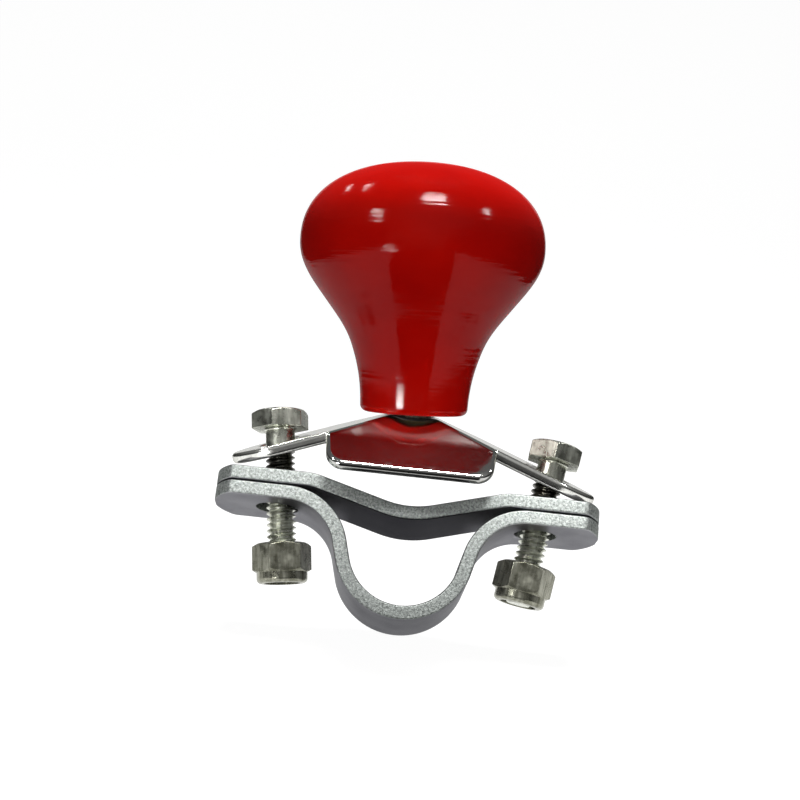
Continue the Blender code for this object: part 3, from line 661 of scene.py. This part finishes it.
def strap_end():
    """Plan points of a strap's end: a rounded corner, then a shallow arc to a short flat."""
    half_width = STRAP_WIDTH / 2.0
    radius = (half_width ** 2 + STRAP_END_SAG ** 2) / (2.0 * STRAP_END_SAG)
    centre_x = strap_half_length() - radius
    corner_y = half_width - STRAP_CORNER_RADIUS
    corner_x = sqrt((radius - STRAP_CORNER_RADIUS) ** 2 - corner_y ** 2)
    turned = asin(corner_y / (radius - STRAP_CORNER_RADIUS))
    narrow = asin(STRAP_END_FLAT / radius)
    corner = (centre_x + corner_x, corner_y)
    points = arc_points(corner, STRAP_CORNER_RADIUS, pi / 2.0, turned, CORNER_STEP)
    return points + arc_points((centre_x, 0.0), radius, turned, narrow)[1:]


def strap_section(half_width):
    """Rounded rectangle as (across, through) offsets."""
    radius = STRAP_EDGE_RADIUS
    half_thickness = STRAP_THICKNESS / 2.0
    points = []
    for index, (side_a, side_b) in enumerate(((1, 1), (-1, 1), (-1, -1), (1, -1))):
        centre = (side_a * (half_width - radius), side_b * (half_thickness - radius))
        points += arc_points(centre, radius, index * pi / 2, (index + 1) * pi / 2, EDGE_STEP)
    return points


def hole_cutter(radius, bottom, top):
    """A round cutter that widens at both faces, which leaves a rounded lip."""
    past = 2.0 * MM
    wide = radius + HOLE_EDGE
    middle = 0.3 * HOLE_EDGE
    profile = [(0.0, bottom - past), (wide + past, bottom - past), (wide, bottom)]
    profile += [(radius + middle, bottom + middle), (radius, bottom + HOLE_EDGE)]
    profile += [(radius, top - HOLE_EDGE), (radius + middle, top - middle)]
    profile += [(wide, top), (wide + past, top + past), (0.0, top + past)]
    return turn("hole_cutter", profile, BOLT_SEGMENTS)


def strap_mesh(name, half_path):
    """Sweep the strap's section along its path, mirrored about the middle, and pierce it."""
    straight = [(x, z, heading, STRAP_WIDTH / 2.0) for x, z, heading in half_path]
    height = half_path[-1][1]
    right = straight + [(x, height, 0.0, half_width) for x, half_width in strap_end()]
    left = [(-x, z, -heading, half_width) for x, z, heading, half_width in reversed(right[1:])]
    builder = bmesh.new()
    rings = []
    for x, z, heading, half_width in left + right:
        ring = []
        for across, through in strap_section(half_width):
            point = (x - through * sin(heading), across, z + through * cos(heading))
            ring.append(builder.verts.new(point))
        rings.append(ring)
    for near, far in zip(rings, rings[1:]):
        join_rows(builder, near, far, closed=True)
    builder.faces.new(rings[0])
    builder.faces.new(list(reversed(rings[-1])))
    half = STRAP_THICKNESS / 2.0
    cutter = hole_cutter(STRAP_HOLE_RADIUS, -half, half)
    holes = []
    for side in (-1, 1):
        place = Matrix.Translation((side * strap_hole_x(), 0.0, height))
        holes.append(("DIFFERENCE", cutter, place))
    return worked(made_mesh(name, builder), cuts=holes)


def lower_strap_path():
    seat, swing, leg, shoulder = lower_strap_bends()
    return strap_half_path((0.0, -seat), [(seat, swing, leg), (shoulder, -swing, 0.0)])


def upper_strap_path():
    half = STRAP_THICKNESS / 2.0
    ear = RIM_SEAT_HEIGHT + SEAT_GAP + half
    dip = DIP_RADIUS + half
    shoulder = UPPER_SHOULDER_RADIUS - half
    flank = (DIP_DEPTH - (dip + shoulder) * (1.0 - cos(DIP_SLOPE))) / sin(DIP_SLOPE)
    bends = [(dip, DIP_SLOPE, flank), (shoulder, -DIP_SLOPE, 0.0)]
    return strap_half_path((0.0, ear - DIP_DEPTH), bends)


# Bridge

def arm_top(x):
    """Height of the bridge's top face over its crown, along its length."""
    far = abs(x) - BRIDGE_CROWN_FLAT
    if far <= 0.0:
        return 0.0
    bend = BRIDGE_CROWN_RADIUS * sin(ARM_SLOPE)
    if far < bend:
        return sqrt(BRIDGE_CROWN_RADIUS ** 2 - far ** 2) - BRIDGE_CROWN_RADIUS
    return -BRIDGE_CROWN_RADIUS * (1.0 - cos(ARM_SLOPE)) - (far - bend) * tan(ARM_SLOPE)


def wing_root(x):
    """Half the flat width of the top face at x: the wings bend down from here."""
    return BRIDGE_WIDTH / 2.0 - (arm_top(x) - arm_top(WING_HALF_WIDTH)) / tan(WING_SLOPE)


def flat_wing_side():
    """Half the wing's width up to where its side edge starts to round."""
    return WING_HALF_WIDTH - BRIDGE_EDGE_RADIUS


def wing_foot(x):
    """Height of the flat wing's lower end at x, with its corners rounded."""
    corner = WING_CORNER_RADIUS - BRIDGE_EDGE_RADIUS
    past = abs(x) - (flat_wing_side() - corner)
    foot = -WING_HEIGHT + BRIDGE_EDGE_RADIUS * sin(WING_SLOPE)
    if past <= 0.0:
        return foot
    return foot + (corner - sqrt(max(0.0, corner ** 2 - past ** 2))) * sin(WING_SLOPE)


def bridge_columns():
    """Places along half the bridge, from the middle out to the wing's side."""
    crown_steps, bend_steps, flat_steps, corner_steps = 4, 7, 6, 12
    bend_end = BRIDGE_CROWN_FLAT + BRIDGE_CROWN_RADIUS * sin(ARM_SLOPE)
    corner_radius = WING_CORNER_RADIUS - BRIDGE_EDGE_RADIUS
    corner = flat_wing_side() - corner_radius
    places = [BRIDGE_CROWN_FLAT * index / crown_steps for index in range(crown_steps + 1)]
    for index in range(1, bend_steps + 1):
        angle = ARM_SLOPE * index / bend_steps
        places.append(BRIDGE_CROWN_FLAT + BRIDGE_CROWN_RADIUS * sin(angle))
    for index in range(1, flat_steps):
        places.append(bend_end + (corner - bend_end) * index / flat_steps)
    for index in range(corner_steps + 1):
        places.append(corner + corner_radius * sin(pi / 2.0 * index / corner_steps))
    return places


def wing_line(x, side):
    """Points down one wing at x: the bend first, then the flat part to the foot."""
    flat_steps = 8
    top = arm_top(x)
    centre = (wing_root(x), top - WING_BEND_RADIUS)
    upright = pi / 2.0
    points = arc_points(centre, WING_BEND_RADIUS, upright, upright - WING_SLOPE)[1:]
    start_y, start_z = points[-1]
    run = start_z - wing_foot(x)
    for index in range(1, flat_steps + 1):
        down = run * index / flat_steps
        points.append((start_y + down / tan(WING_SLOPE), start_z - down))
    line = []
    for y, z in points:
        narrowing = WING_TAPER * max(0.0, top - z) / (top + WING_HEIGHT)
        line.append((x * (1.0 - narrowing / WING_HALF_WIDTH), side * y, z))
    return line


def bridge_sheet():
    """The bridge's top face up to its rounded rim: a sloped band with a wing on each side."""
    row_step = 5
    tip_shares = (0.0, 0.25, 0.5, 0.75, 1.0)
    half = bridge_columns()
    columns = [-x for x in reversed(half[1:])] + half
    row_angles = [radians(angle) for angle in range(-90, 91, row_step)]
    half_width = BRIDGE_WIDTH / 2.0 - BRIDGE_EDGE_RADIUS
    builder = bmesh.new()
    grid = []
    for x in columns:
        root = wing_root(x)
        front = [builder.verts.new(point) for point in reversed(wing_line(x, -1))]
        band = [(x, root * sin(angle), arm_top(x)) for angle in row_angles]
        middle = [builder.verts.new(point) for point in band]
        back = [builder.verts.new(point) for point in wing_line(x, 1)]
        grid.append((front + middle + back, middle))
    for (here, _), (after, _) in zip(grid, grid[1:]):
        for index in range(len(here) - 1):
            corners = (here[index], after[index], after[index + 1], here[index + 1])
            builder.faces.new(corners)
    arm_start = WING_HALF_WIDTH + 0.3 * MM
    for side, last in ((-1, grid[0][1]), (1, grid[-1][1])):
        tip = strap_half_length() - BRIDGE_SET_BACK + side * FOLD_OFFSET
        tip_centre = tip - BRIDGE_WIDTH / 2.0
        for share in tip_shares:
            line = []
            for angle in row_angles:
                reach = tip_centre + half_width * cos(angle) - arm_start
                x = arm_start + reach * share
                line.append(builder.verts.new((side * x, half_width * sin(angle), arm_top(x))))
            for index in range(len(line) - 1):
                corners = [last[index], line[index], line[index + 1], last[index + 1]]
                builder.faces.new(corners if side > 0 else list(reversed(corners)))
            last = line
    bmesh.ops.recalc_face_normals(builder, faces=builder.faces)
    if sum(face.normal.z for face in builder.faces) < 0.0:
        bmesh.ops.reverse_faces(builder, faces=builder.faces)
    builder.normal_update()
    return builder


def outward_directions(builder):
    """For each point on the sheet's rim, the way out of the sheet in its own plane."""
    outward = {}
    for edge in builder.edges:
        if edge.is_boundary:
            loop = edge.link_loops[0]
            run = loop.link_loop_next.vert.co - loop.vert.co
            away = run.cross(loop.face.normal).normalized()
            for vert in edge.verts:
                outward.setdefault(vert, []).append(away)
    return {vert: sum(ways, Vector()).normalized() for vert, ways in outward.items()}


def thickened(builder, thickness, radius, steps):
    """Give the sheet its thickness below and a rim rounded over at both faces."""
    outward = outward_directions(builder)
    rims = [edge.link_loops[0] for edge in builder.edges if edge.is_boundary]
    rims = [(loop.vert, loop.link_loop_next.vert) for loop in rims]
    top_faces = [list(face.verts) for face in builder.faces]
    below = {}
    for vert in list(builder.verts):
        below[vert] = builder.verts.new(vert.co - vert.normal * thickness)
    down = {}
    for vert, away in outward.items():
        line = []
        for index in range(1, steps + 1):
            angle = pi / 2.0 * index / steps
            line.append((radius * sin(angle), radius * (1.0 - cos(angle))))
        line += [(out, thickness - deep) for out, deep in reversed(line)]
        places = [vert.co + away * out - vert.normal * deep for out, deep in line]
        rim = [builder.verts.new(place) for place in places]
        down[vert] = [vert, *rim, below[vert]]
    for corners in top_faces:
        builder.faces.new([below[vert] for vert in reversed(corners)])
    for first, second in rims:
        join_rows(builder, down[first], down[second])


def bridge_mesh():
    builder = bridge_sheet()
    thickened(builder, BRIDGE_THICKNESS, BRIDGE_EDGE_RADIUS, BRIDGE_EDGE_STEPS)
    pivot_cutter = hole_cutter(PIVOT_HOLE_RADIUS, -BRIDGE_THICKNESS, 0.0)
    cuts = [("DIFFERENCE", pivot_cutter, HERE)]
    ear_cutter = hole_cutter(EAR_HOLE_RADIUS, -BRIDGE_THICKNESS, 0.0)
    for side in (-1, 1):
        x = side * (strap_hole_x() + EAR_HOLE_SPREAD) + FOLD_OFFSET
        centre = Matrix.Translation((x, 0.0, arm_top(x)))
        square = Matrix.Rotation(side * ARM_SLOPE, 4, "Y")
        cuts.append(("DIFFERENCE", ear_cutter, centre @ square))
    return worked(made_mesh("bridge", builder), cuts=cuts)


# Clamp bolts and lock nuts

def hex_corner():
    """Radius of a hexagon at its corners."""
    return HEX_ACROSS_FLATS / 2.0 / cos(pi / 6.0)


def hex_outline():
    radius = hex_corner()
    angles = [pi / 3.0 * index for index in range(6)]
    return [(radius * cos(angle), radius * sin(angle)) for angle in angles]


def hex_chamfer(bottom, top, chamfer_bottom, chamfer_top):
    """The turned form that cuts a hexagon's corners back at its ends."""
    face = HEX_ACROSS_FLATS / 2.0 * HEX_END_SHARE
    reach = 1.2 * hex_corner()
    tip = face - MM / tan(HEX_CHAMFER)
    slant = (reach - face) * tan(HEX_CHAMFER)
    profile = [(0.0, bottom - MM)]
    if chamfer_bottom:
        profile += [(tip, bottom - MM), (reach, bottom + slant)]
    else:
        profile += [(reach, bottom - MM)]
    if chamfer_top:
        profile += [(reach, top - slant), (tip, top + MM)]
    else:
        profile += [(reach, top + MM)]
    profile.append((0.0, top + MM))
    return turn("hex_chamfer", profile, BOLT_SEGMENTS)


def thread_mesh(top, bottom):
    """A right-hand V thread from its run-out under the neck down to the bolt's end."""
    # One turn's cross-section, from crest to crest: shares of the pitch and of the depth
    section = ((0.0, 0.0), (0.12, 0.0), (0.28, 0.5), (0.44, 1.0), (0.68, 1.0), (0.84, 0.5))
    run_out = 0.9 * THREAD_PITCH
    turns = ceil((top - bottom) / THREAD_PITCH) + 1
    builder = bmesh.new()
    lines = []
    for row in range(turns * len(section) + 1):
        share, depth = section[row % len(section)]
        start = bottom - THREAD_PITCH + (row // len(section) + share) * THREAD_PITCH
        line = []
        for index in range(THREAD_SEGMENTS + 1):
            angle = 2.0 * pi * index / THREAD_SEGMENTS
            climbed = start + THREAD_PITCH * index / THREAD_SEGMENTS
            height = min(top, max(bottom, climbed))
            fade = min(1.0, (top - height) / run_out)
            cut_back = max(0.0, BOLT_END_CHAMFER - (height - bottom))
            radius = min(THREAD_RADIUS - depth * THREAD_DEPTH * fade, THREAD_RADIUS - cut_back)
            line.append(builder.verts.new((radius * cos(angle), radius * sin(angle), height)))
        lines.append(line)
    for low, high in zip(lines, lines[1:]):
        join_rows(builder, low, high)
    bmesh.ops.remove_doubles(builder, verts=builder.verts, dist=TINY)
    bmesh.ops.dissolve_degenerate(builder, dist=TINY, edges=builder.edges)
    ends = [edge for edge in builder.edges if edge.is_boundary]
    bmesh.ops.holes_fill(builder, edges=ends)
    return made_mesh("thread", builder)


def clamp_bolt_mesh():
    """A chamfered hex head over z = 0 with a plain neck and a threaded shank below it."""
    head = prism("clamp_bolt", hex_outline(), 0.0, BOLT_HEAD_HEIGHT)
    chamfer = hex_chamfer(0.0, BOLT_HEAD_HEIGHT, False, True)
    head = worked(head, cuts=[("INTERSECT", chamfer, HERE)], bevel=HEX_EDGE)
    inside = BOLT_HEAD_HEIGHT / 2.0
    fillet = 0.5 * MM
    shoulder = 0.3 * MM
    foot = -NECK_LENGTH
    thread_top = foot + 0.4 * MM
    outer = THREAD_RADIUS + fillet
    neck = [(0.0, inside), (outer, inside)]
    neck += arc_points((outer, -fillet), fillet, pi / 2.0, pi, FILLET_STEP)
    neck += [(THREAD_RADIUS, foot + 0.2 * MM), (THREAD_RADIUS - shoulder, foot), (0.0, foot)]
    builder = bmesh.new()
    for part in (head, turn("neck", neck, BOLT_SEGMENTS), thread_mesh(thread_top, -BOLT_LENGTH)):
        builder.from_mesh(part)
    mesh = bpy.data.meshes.new("clamp_bolt")
    builder.to_mesh(mesh)
    builder.free()
    return mesh


def lock_nut_mesh():
    """Lock nut with its bearing face at z = 0 and its crimped collar below."""
    body = prism("lock_nut", hex_outline(), -NUT_HEX_HEIGHT, 0.0)
    chamfer = hex_chamfer(-NUT_HEX_HEIGHT, 0.0, True, True)
    foot = -NUT_HEX_HEIGHT - NUT_COLLAR_HEIGHT
    bend = NUT_COLLAR_RADIUS - NUT_LIP_RADIUS
    collar = [(0.0, -NUT_HEX_HEIGHT / 2.0), (NUT_COLLAR_RADIUS, -NUT_HEX_HEIGHT / 2.0)]
    collar += arc_points((NUT_LIP_RADIUS, foot + bend), bend, 0.0, -pi / 2.0, LIP_STEP)
    collar.append((0.0, foot))
    bore = THREAD_RADIUS + 0.15 * MM
    past = MM
    lead_in = 0.6 * MM
    bore_foot = foot + 2.0 * MM
    hollow = [
        (0.0, past), (bore + lead_in + past, past), (bore, -lead_in), (bore, bore_foot),
        (NUT_LIP_OPENING, bore_foot), (NUT_LIP_OPENING, foot - past), (0.0, foot - past),
    ]
    return worked(body, cuts=[
        ("INTERSECT", chamfer, HERE),
        ("UNION", turn("collar", collar, BOLT_SEGMENTS), HERE),
        ("DIFFERENCE", turn("hollow", hollow, BOLT_SEGMENTS), HERE),
    ], bevel=NUT_EDGE, segments=2)


# Knob

def bezier(start, start_handle, end_handle, end, count):
    """Points on a curve between two ends, the first end left out."""
    corners = (start, start_handle, end_handle, end)
    points = []
    for index in range(1, count + 1):
        t = index / count
        s = 1.0 - t
        weights = (s ** 3, 3 * s * s * t, 3 * s * t * t, t ** 3)
        pulls = list(zip(weights, corners))
        points.append(tuple(sum(w * c[axis] for w, c in pulls) for axis in (0, 1)))
    return points


def knob_mesh():
    """The knob's outline from the foot to the top of its dome, with a recess in its foot."""
    nodes = [
        (KNOB_FOOT_RADIUS, KNOB_FOOT_ROUNDING, KNOB_FOOT_LEAN),
        (KNOB_KNEE_RADIUS, KNOB_KNEE_HEIGHT, KNOB_KNEE_LEAN),
        (KNOB_FLANK_RADIUS, KNOB_FLANK_HEIGHT, KNOB_FLANK_LEAN),
        (KNOB_RADIUS, KNOB_WIDEST_HEIGHT, 0.0),
    ]
    foot_centre = (KNOB_FOOT_RADIUS - KNOB_FOOT_ROUNDING, KNOB_FOOT_ROUNDING)
    outline = arc_points(foot_centre, KNOB_FOOT_ROUNDING, -pi / 2.0, 0.0, LIP_STEP)
    for (r0, z0, lean0), (r1, z1, lean1) in zip(nodes, nodes[1:]):
        reach = sqrt((r1 - r0) ** 2 + (z1 - z0) ** 2) * KNOB_HANDLE_SHARE
        handle0 = (r0 + reach * sin(lean0), z0 + reach * cos(lean0))
        handle1 = (r1 - reach * sin(lean1), z1 - reach * cos(lean1))
        outline += bezier((r0, z0), handle0, handle1, (r1, z1), KNOB_CURVE_STEPS)
    dome_height = KNOB_HEIGHT - KNOB_WIDEST_HEIGHT
    for index in range(1, KNOB_DOME_STEPS):
        angle = pi / 2.0 * index / KNOB_DOME_STEPS
        radius = KNOB_RADIUS * cos(angle) ** (2.0 / KNOB_DOME_POWER)
        height = KNOB_WIDEST_HEIGHT + dome_height * sin(angle) ** (2.0 / KNOB_DOME_POWER)
        outline.append((radius, height))
    outline.append((0.0, KNOB_HEIGHT))
    mouth = 0.2 * MM
    recess = [
        (0.0, KNOB_RECESS_DEPTH), (KNOB_RECESS_RADIUS, KNOB_RECESS_DEPTH),
        (KNOB_RECESS_RADIUS, mouth), (KNOB_RECESS_RADIUS + mouth, 0.0),
    ]
    raised = [(radius, height + KNOB_FOOT_GAP) for radius, height in recess + outline]
    return turn("knob", raised, KNOB_SEGMENTS)


# Places

def along(direction):
    """A frame with Z along a direction and X as near to the world's X as it can be."""
    across = direction.cross(Vector((1.0, 0.0, 0.0))).normalized()
    level = across.cross(direction)
    return Matrix((level, across, direction)).transposed().to_4x4()


def joint_place(joints, name, way):
    """A joint's place, with Z along its axis (way 1) or against it (way -1)."""
    joint = next(found for found in joints if found["name"] == name)
    axis = Vector(joint["axis"]).normalized() * way
    return Matrix.Translation(Vector(joint["pos_m"])) @ along(axis)


# Studio

def make_camera():
    """The photograph's camera, which looks a little down on the front of the part."""
    level_right = Vector((cos(CAMERA_YAW), -sin(CAMERA_YAW), 0.0))
    forward = Vector((
        sin(CAMERA_YAW) * cos(CAMERA_ELEVATION),
        cos(CAMERA_YAW) * cos(CAMERA_ELEVATION),
        -sin(CAMERA_ELEVATION),
    ))
    level_up = level_right.cross(forward)
    right = level_right * cos(CAMERA_ROLL) + level_up * sin(CAMERA_ROLL)
    up = level_up * cos(CAMERA_ROLL) - level_right * sin(CAMERA_ROLL)
    focal_pixels = CAMERA_SCALE * CAMERA_DISTANCE / MM
    across = (ORIGIN_PIXEL[0] - IMAGE_SIZE / 2.0) / focal_pixels
    above = (IMAGE_SIZE / 2.0 - ORIGIN_PIXEL[1]) / focal_pixels
    data = bpy.data.cameras.new("camera")
    data.sensor_width = SENSOR_WIDTH
    data.lens = focal_pixels * SENSOR_WIDTH / IMAGE_SIZE
    data.clip_start = CAMERA_CLIP_START
    camera = link(bpy.data.objects.new("camera", data))
    turned = Matrix((right, up, -forward)).transposed().to_4x4()
    eye = (forward + right * across + up * above) * -CAMERA_DISTANCE
    camera.matrix_world = Matrix.Translation(eye) @ turned
    bpy.context.scene.camera = camera


def seen_rays(tree):
    """1 for camera, glossy and transmission rays, and 0 for the light that falls on things."""
    path = tree.nodes.new("ShaderNodeLightPath")
    total = path.outputs["Is Camera Ray"]
    for name in ("Is Glossy Ray", "Is Transmission Ray"):
        node = tree.nodes.new("ShaderNodeMath")
        node.operation = "MAXIMUM"
        tree.links.new(total, node.inputs[0])
        tree.links.new(path.outputs[name], node.inputs[1])
        total = node.outputs[0]
    return total


def studio_white(name, glow, albedo):
    """A pale painted surface that shows white and still takes a soft shadow."""
    paint = Paint(name)
    mottle = paint.spread(paint.noise(3.0, detail=3.0), 0.3, 0.7, 0.97, 1.0)
    return paint.finish({
        "Base Color": paint.maths("MULTIPLY", mottle, albedo),
        "Roughness": 0.9,
        "Specular IOR Level": 0.0,
        "Emission Color": WHITE,
        "Emission Strength": paint.maths("MULTIPLY", seen_rays(paint.tree), glow),
    })


def make_backdrop(floor_height):
    """A sheet of floor that widens towards the back and curves up into a wall there."""
    bend = BACKDROP_BEND
    profile = [(y, 0.0, half_width) for y, half_width in BACKDROP_FLOOR]
    bend_start = profile[-1][0]
    for degrees in range(6, 91, 6):
        angle = radians(degrees)
        place = (bend_start + bend * sin(angle), bend - bend * cos(angle))
        profile.append((*place, BACKDROP_WALL_HALF_WIDTH))
    profile.append((bend_start + bend, BACKDROP_WALL_HEIGHT, BACKDROP_WALL_HALF_WIDTH))
    builder = bmesh.new()
    rows = []
    for y, z, half_width in profile:
        ends = [(x, y, floor_height + z) for x in (-half_width, half_width)]
        rows.append([builder.verts.new(point) for point in ends])
    for near, far in zip(rows, rows[1:]):
        join_rows(builder, near, far)
    mesh = made_mesh("backdrop", builder)
    mesh.shade_smooth()
    mesh.materials.append(studio_white("backdrop", BACKDROP_GLOW, BACKDROP_ALBEDO))
    link(bpy.data.objects.new("backdrop", mesh))


def add_lamp(name, way, distance, size, power, aim=KNOB_AIM_HEIGHT):
    """A soft box in a direction from a point over the origin, turned towards it."""
    data = bpy.data.lights.new(name, "AREA")
    data.shape = "RECTANGLE"
    data.size, data.size_y = size
    data.energy = power
    lamp = link(bpy.data.objects.new(name, data))
    direction = Vector(way).normalized()
    lamp.location = Vector((0.0, 0.0, aim)) + direction * distance
    lamp.rotation_euler = direction.to_track_quat("Z", "Y").to_euler()
    return lamp


def light_studio():
    """Small lamps that only the gloss mirrors, and wide ones that only light the surfaces.

    Each has its direction, its distance and its size in metres, and its power in watts.
    """
    highlights = [
        add_lamp("lamp_above", (0.05, -0.40, 0.915), 0.7, (0.19, 0.16), 7.8),
        add_lamp("lamp_left", (-0.663, -0.56, 0.50), 0.7, (0.12, 0.07), 2.2),
        add_lamp("lamp_right", (0.673, -0.217, 0.707), 0.7, (0.08, 0.06), 1.0),
        add_lamp("lamp_back_left", (-0.50, 0.28, 0.80), 0.7, (0.07, 0.04), 0.5),
        add_lamp("lamp_back_left_2", (-0.56, 0.485, 0.67), 0.7, (0.06, 0.035), 0.25),
    ]
    low = add_lamp("lamp_low", (-0.511, -0.837, -0.195), 0.205, (0.05, 0.016), 0.012,
                   aim=NECK_AIM_HEIGHT)
    low.data.spread = LOW_LAMP_SPREAD
    for lamp in [*highlights, low]:
        lamp.visible_diffuse = False
    soft = [
        add_lamp("lamp_top", (0.0, 0.32, 0.95), 0.8, (0.4, 0.3), 9.2),
        add_lamp("lamp_fill", (-0.12, -0.99, 0.0), 0.9, (0.9, 0.5), 3.3),
    ]
    for lamp in soft:
        lamp.visible_glossy = False


def make_dark_card():
    """A dark card before the object that only mirroring surfaces see."""
    (near, near_y), (far, far_y) = DARK_CARD_NEAR, DARK_CARD_FAR
    corners = [(-near, near_y), (near, near_y), (far, far_y), (-far, far_y)]
    builder = bmesh.new()
    builder.faces.new([builder.verts.new((x, y, 0.0)) for x, y in corners])
    mesh = made_mesh("dark_card", builder)
    paint = Paint("dark_card")
    mesh.materials.append(paint.finish({
        "Base Color": paint.spread(paint.noise(8.0), 0.3, 0.7, 0.01, 0.02),
        "Roughness": 0.9,
        "Specular IOR Level": 0.0,
    }))
    card = link(bpy.data.objects.new("dark_card", mesh))
    card.location.z = DARK_CARD_HEIGHT
    card.visible_camera = False
    card.visible_diffuse = False
    card.visible_shadow = False


def make_world():
    """White behind the object for the camera, and for everything else a room that is dark
    near the level, grey above, and lighter in a soft patch above the camera."""
    world = bpy.data.worlds.new("room")
    world.use_nodes = True
    tree = world.node_tree
    bpy.context.scene.world = world
    way = tree.nodes.new("ShaderNodeTexCoord").outputs["Generated"]

    def spread(value, *limits):
        """Map one range to another, softly at both ends."""
        sockets = ("Value", "From Min", "From Max", "To Min", "To Max")
        node = tree.nodes.new("ShaderNodeMapRange")
        node.interpolation_type = "SMOOTHSTEP"
        for name, limit in zip(sockets, (value, *limits)):
            if isinstance(limit, bpy.types.NodeSocket):
                tree.links.new(limit, node.inputs[name])
            else:
                node.inputs[name].default_value = limit
        return node.outputs["Result"]

    split = tree.nodes.new("ShaderNodeSeparateXYZ")
    tree.links.new(way, split.inputs[0])
    towards = tree.nodes.new("ShaderNodeVectorMath")
    towards.operation = "DOT_PRODUCT"
    tree.links.new(way, towards.inputs[0])
    towards.inputs[1].default_value = Vector(ROOM_PATCH_WAY).normalized()
    level = spread(split.outputs["Z"], *ROOM_RISE, ROOM_DARK, ROOM_GREY)
    patch = spread(towards.outputs["Value"], ROOM_PATCH_EDGE, 1.0, 0.0, ROOM_PATCH)
    total = tree.nodes.new("ShaderNodeMath")
    tree.links.new(level, total.inputs[0])
    tree.links.new(patch, total.inputs[1])
    path = tree.nodes.new("ShaderNodeLightPath")
    seen = spread(path.outputs["Is Camera Ray"], 0.0, 1.0, total.outputs[0], 1.0)
    background = tree.nodes["Background"]
    tree.links.new(seen, background.inputs["Strength"])
    background.inputs["Color"].default_value = (*WHITE, 1.0)


# The part and its surroundings

def dress_clamp():
    """The straps and the bridge, which lie loose on each other as one body."""
    rocked = Matrix.Rotation(-STRAP_ROCK, 4, "X")
    for name, path in (("lower_strap", lower_strap_path()), ("upper_strap", upper_strap_path())):
        paint = strap_zinc(name + "_zinc", *STRAP_PAINTED_SHADE[name])
        add_piece(name + "_look", strap_mesh(name, path), rocked, paint, "clamp", name)
    crown = Matrix.Translation((BRIDGE_SHIFT_X, BRIDGE_SHIFT_Y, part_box("bridge")[1].z))
    add_piece("bridge_look", bridge_mesh(), crown, bridge_chrome(), "clamp", "bridge")


def dress_fasteners(joints, bolt_paints):
    """The clamp bolts and their nuts, each on its own axis."""
    nut_paint = fastener_zinc("nut_zinc", NUT_ZINC)
    bolt, nut = clamp_bolt_mesh(), lock_nut_mesh()
    for side in ("left", "right"):
        axis = joint_place(joints, "bolt_" + side + "_turn", -1.0)
        head = axis @ Matrix.Rotation(HEAD_TURN[side], 4, "Z")
        add_piece("clamp_bolt_" + side + "_look", bolt.copy(), head, bolt_paints[side],
                  "bolt_" + side, "clamp_bolt_" + side)
        seat = axis @ Matrix.Translation((0.0, 0.0, -NUT_DISTANCE[side]))
        seat = seat @ Matrix.Rotation(NUT_TURN[side], 4, "Z")
        add_piece("lock_nut_" + side + "_look", nut.copy(), seat, nut_paint,
                  "nut_" + side, "lock_nut_" + side)


def paint_kept_nodes(nodes, zinc):
    """Finishes for the small CAD pieces that show as they are."""
    nylon = moulded_plastic("nylon", NYLON)
    kept = {
        "nylon_ring_left": nylon,
        "nylon_ring_right": nylon,
        # the thrust washer is painted dark as shade in the gap under the knob
        "thrust_washer": moulded_plastic("shaded_nylon", SHADED_NYLON),
        "knob_insert": turned_brass(),
        "pivot_bolt": zinc,
        "pivot_washer": zinc,
    }
    for name, paint in kept.items():
        nodes[name].data.materials.clear()
        nodes[name].data.materials.append(paint)


def build():
    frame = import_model()
    cad_low, cad_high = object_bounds()
    bpy.context.scene.view_settings.view_transform = "Standard"

    dress_clamp()
    bolt_paints = {
        "left": fastener_zinc("bolt_zinc", BOLT_ZINC, SHADED_THREAD_SPAN),
        # the right bolt has painted shade on one hex face
        "right": fastener_zinc("face_shaded_bolt_zinc", BOLT_ZINC, SHADED_THREAD_SPAN, SHADED_HEX_FACE),
    }
    dress_fasteners(frame["joints"], bolt_paints)
    pivot = joint_place(frame["joints"], "knob_spin", 1.0)
    add_piece("knob_look", knob_mesh(), pivot, knob_paint(), "knob", "knob")
    paint_kept_nodes(frame["nodes"], bolt_paints["left"])

    make_backdrop(cad_low[2] - BACKDROP_DROP)
    make_world()
    light_studio()
    make_dark_card()
    make_camera()


build()
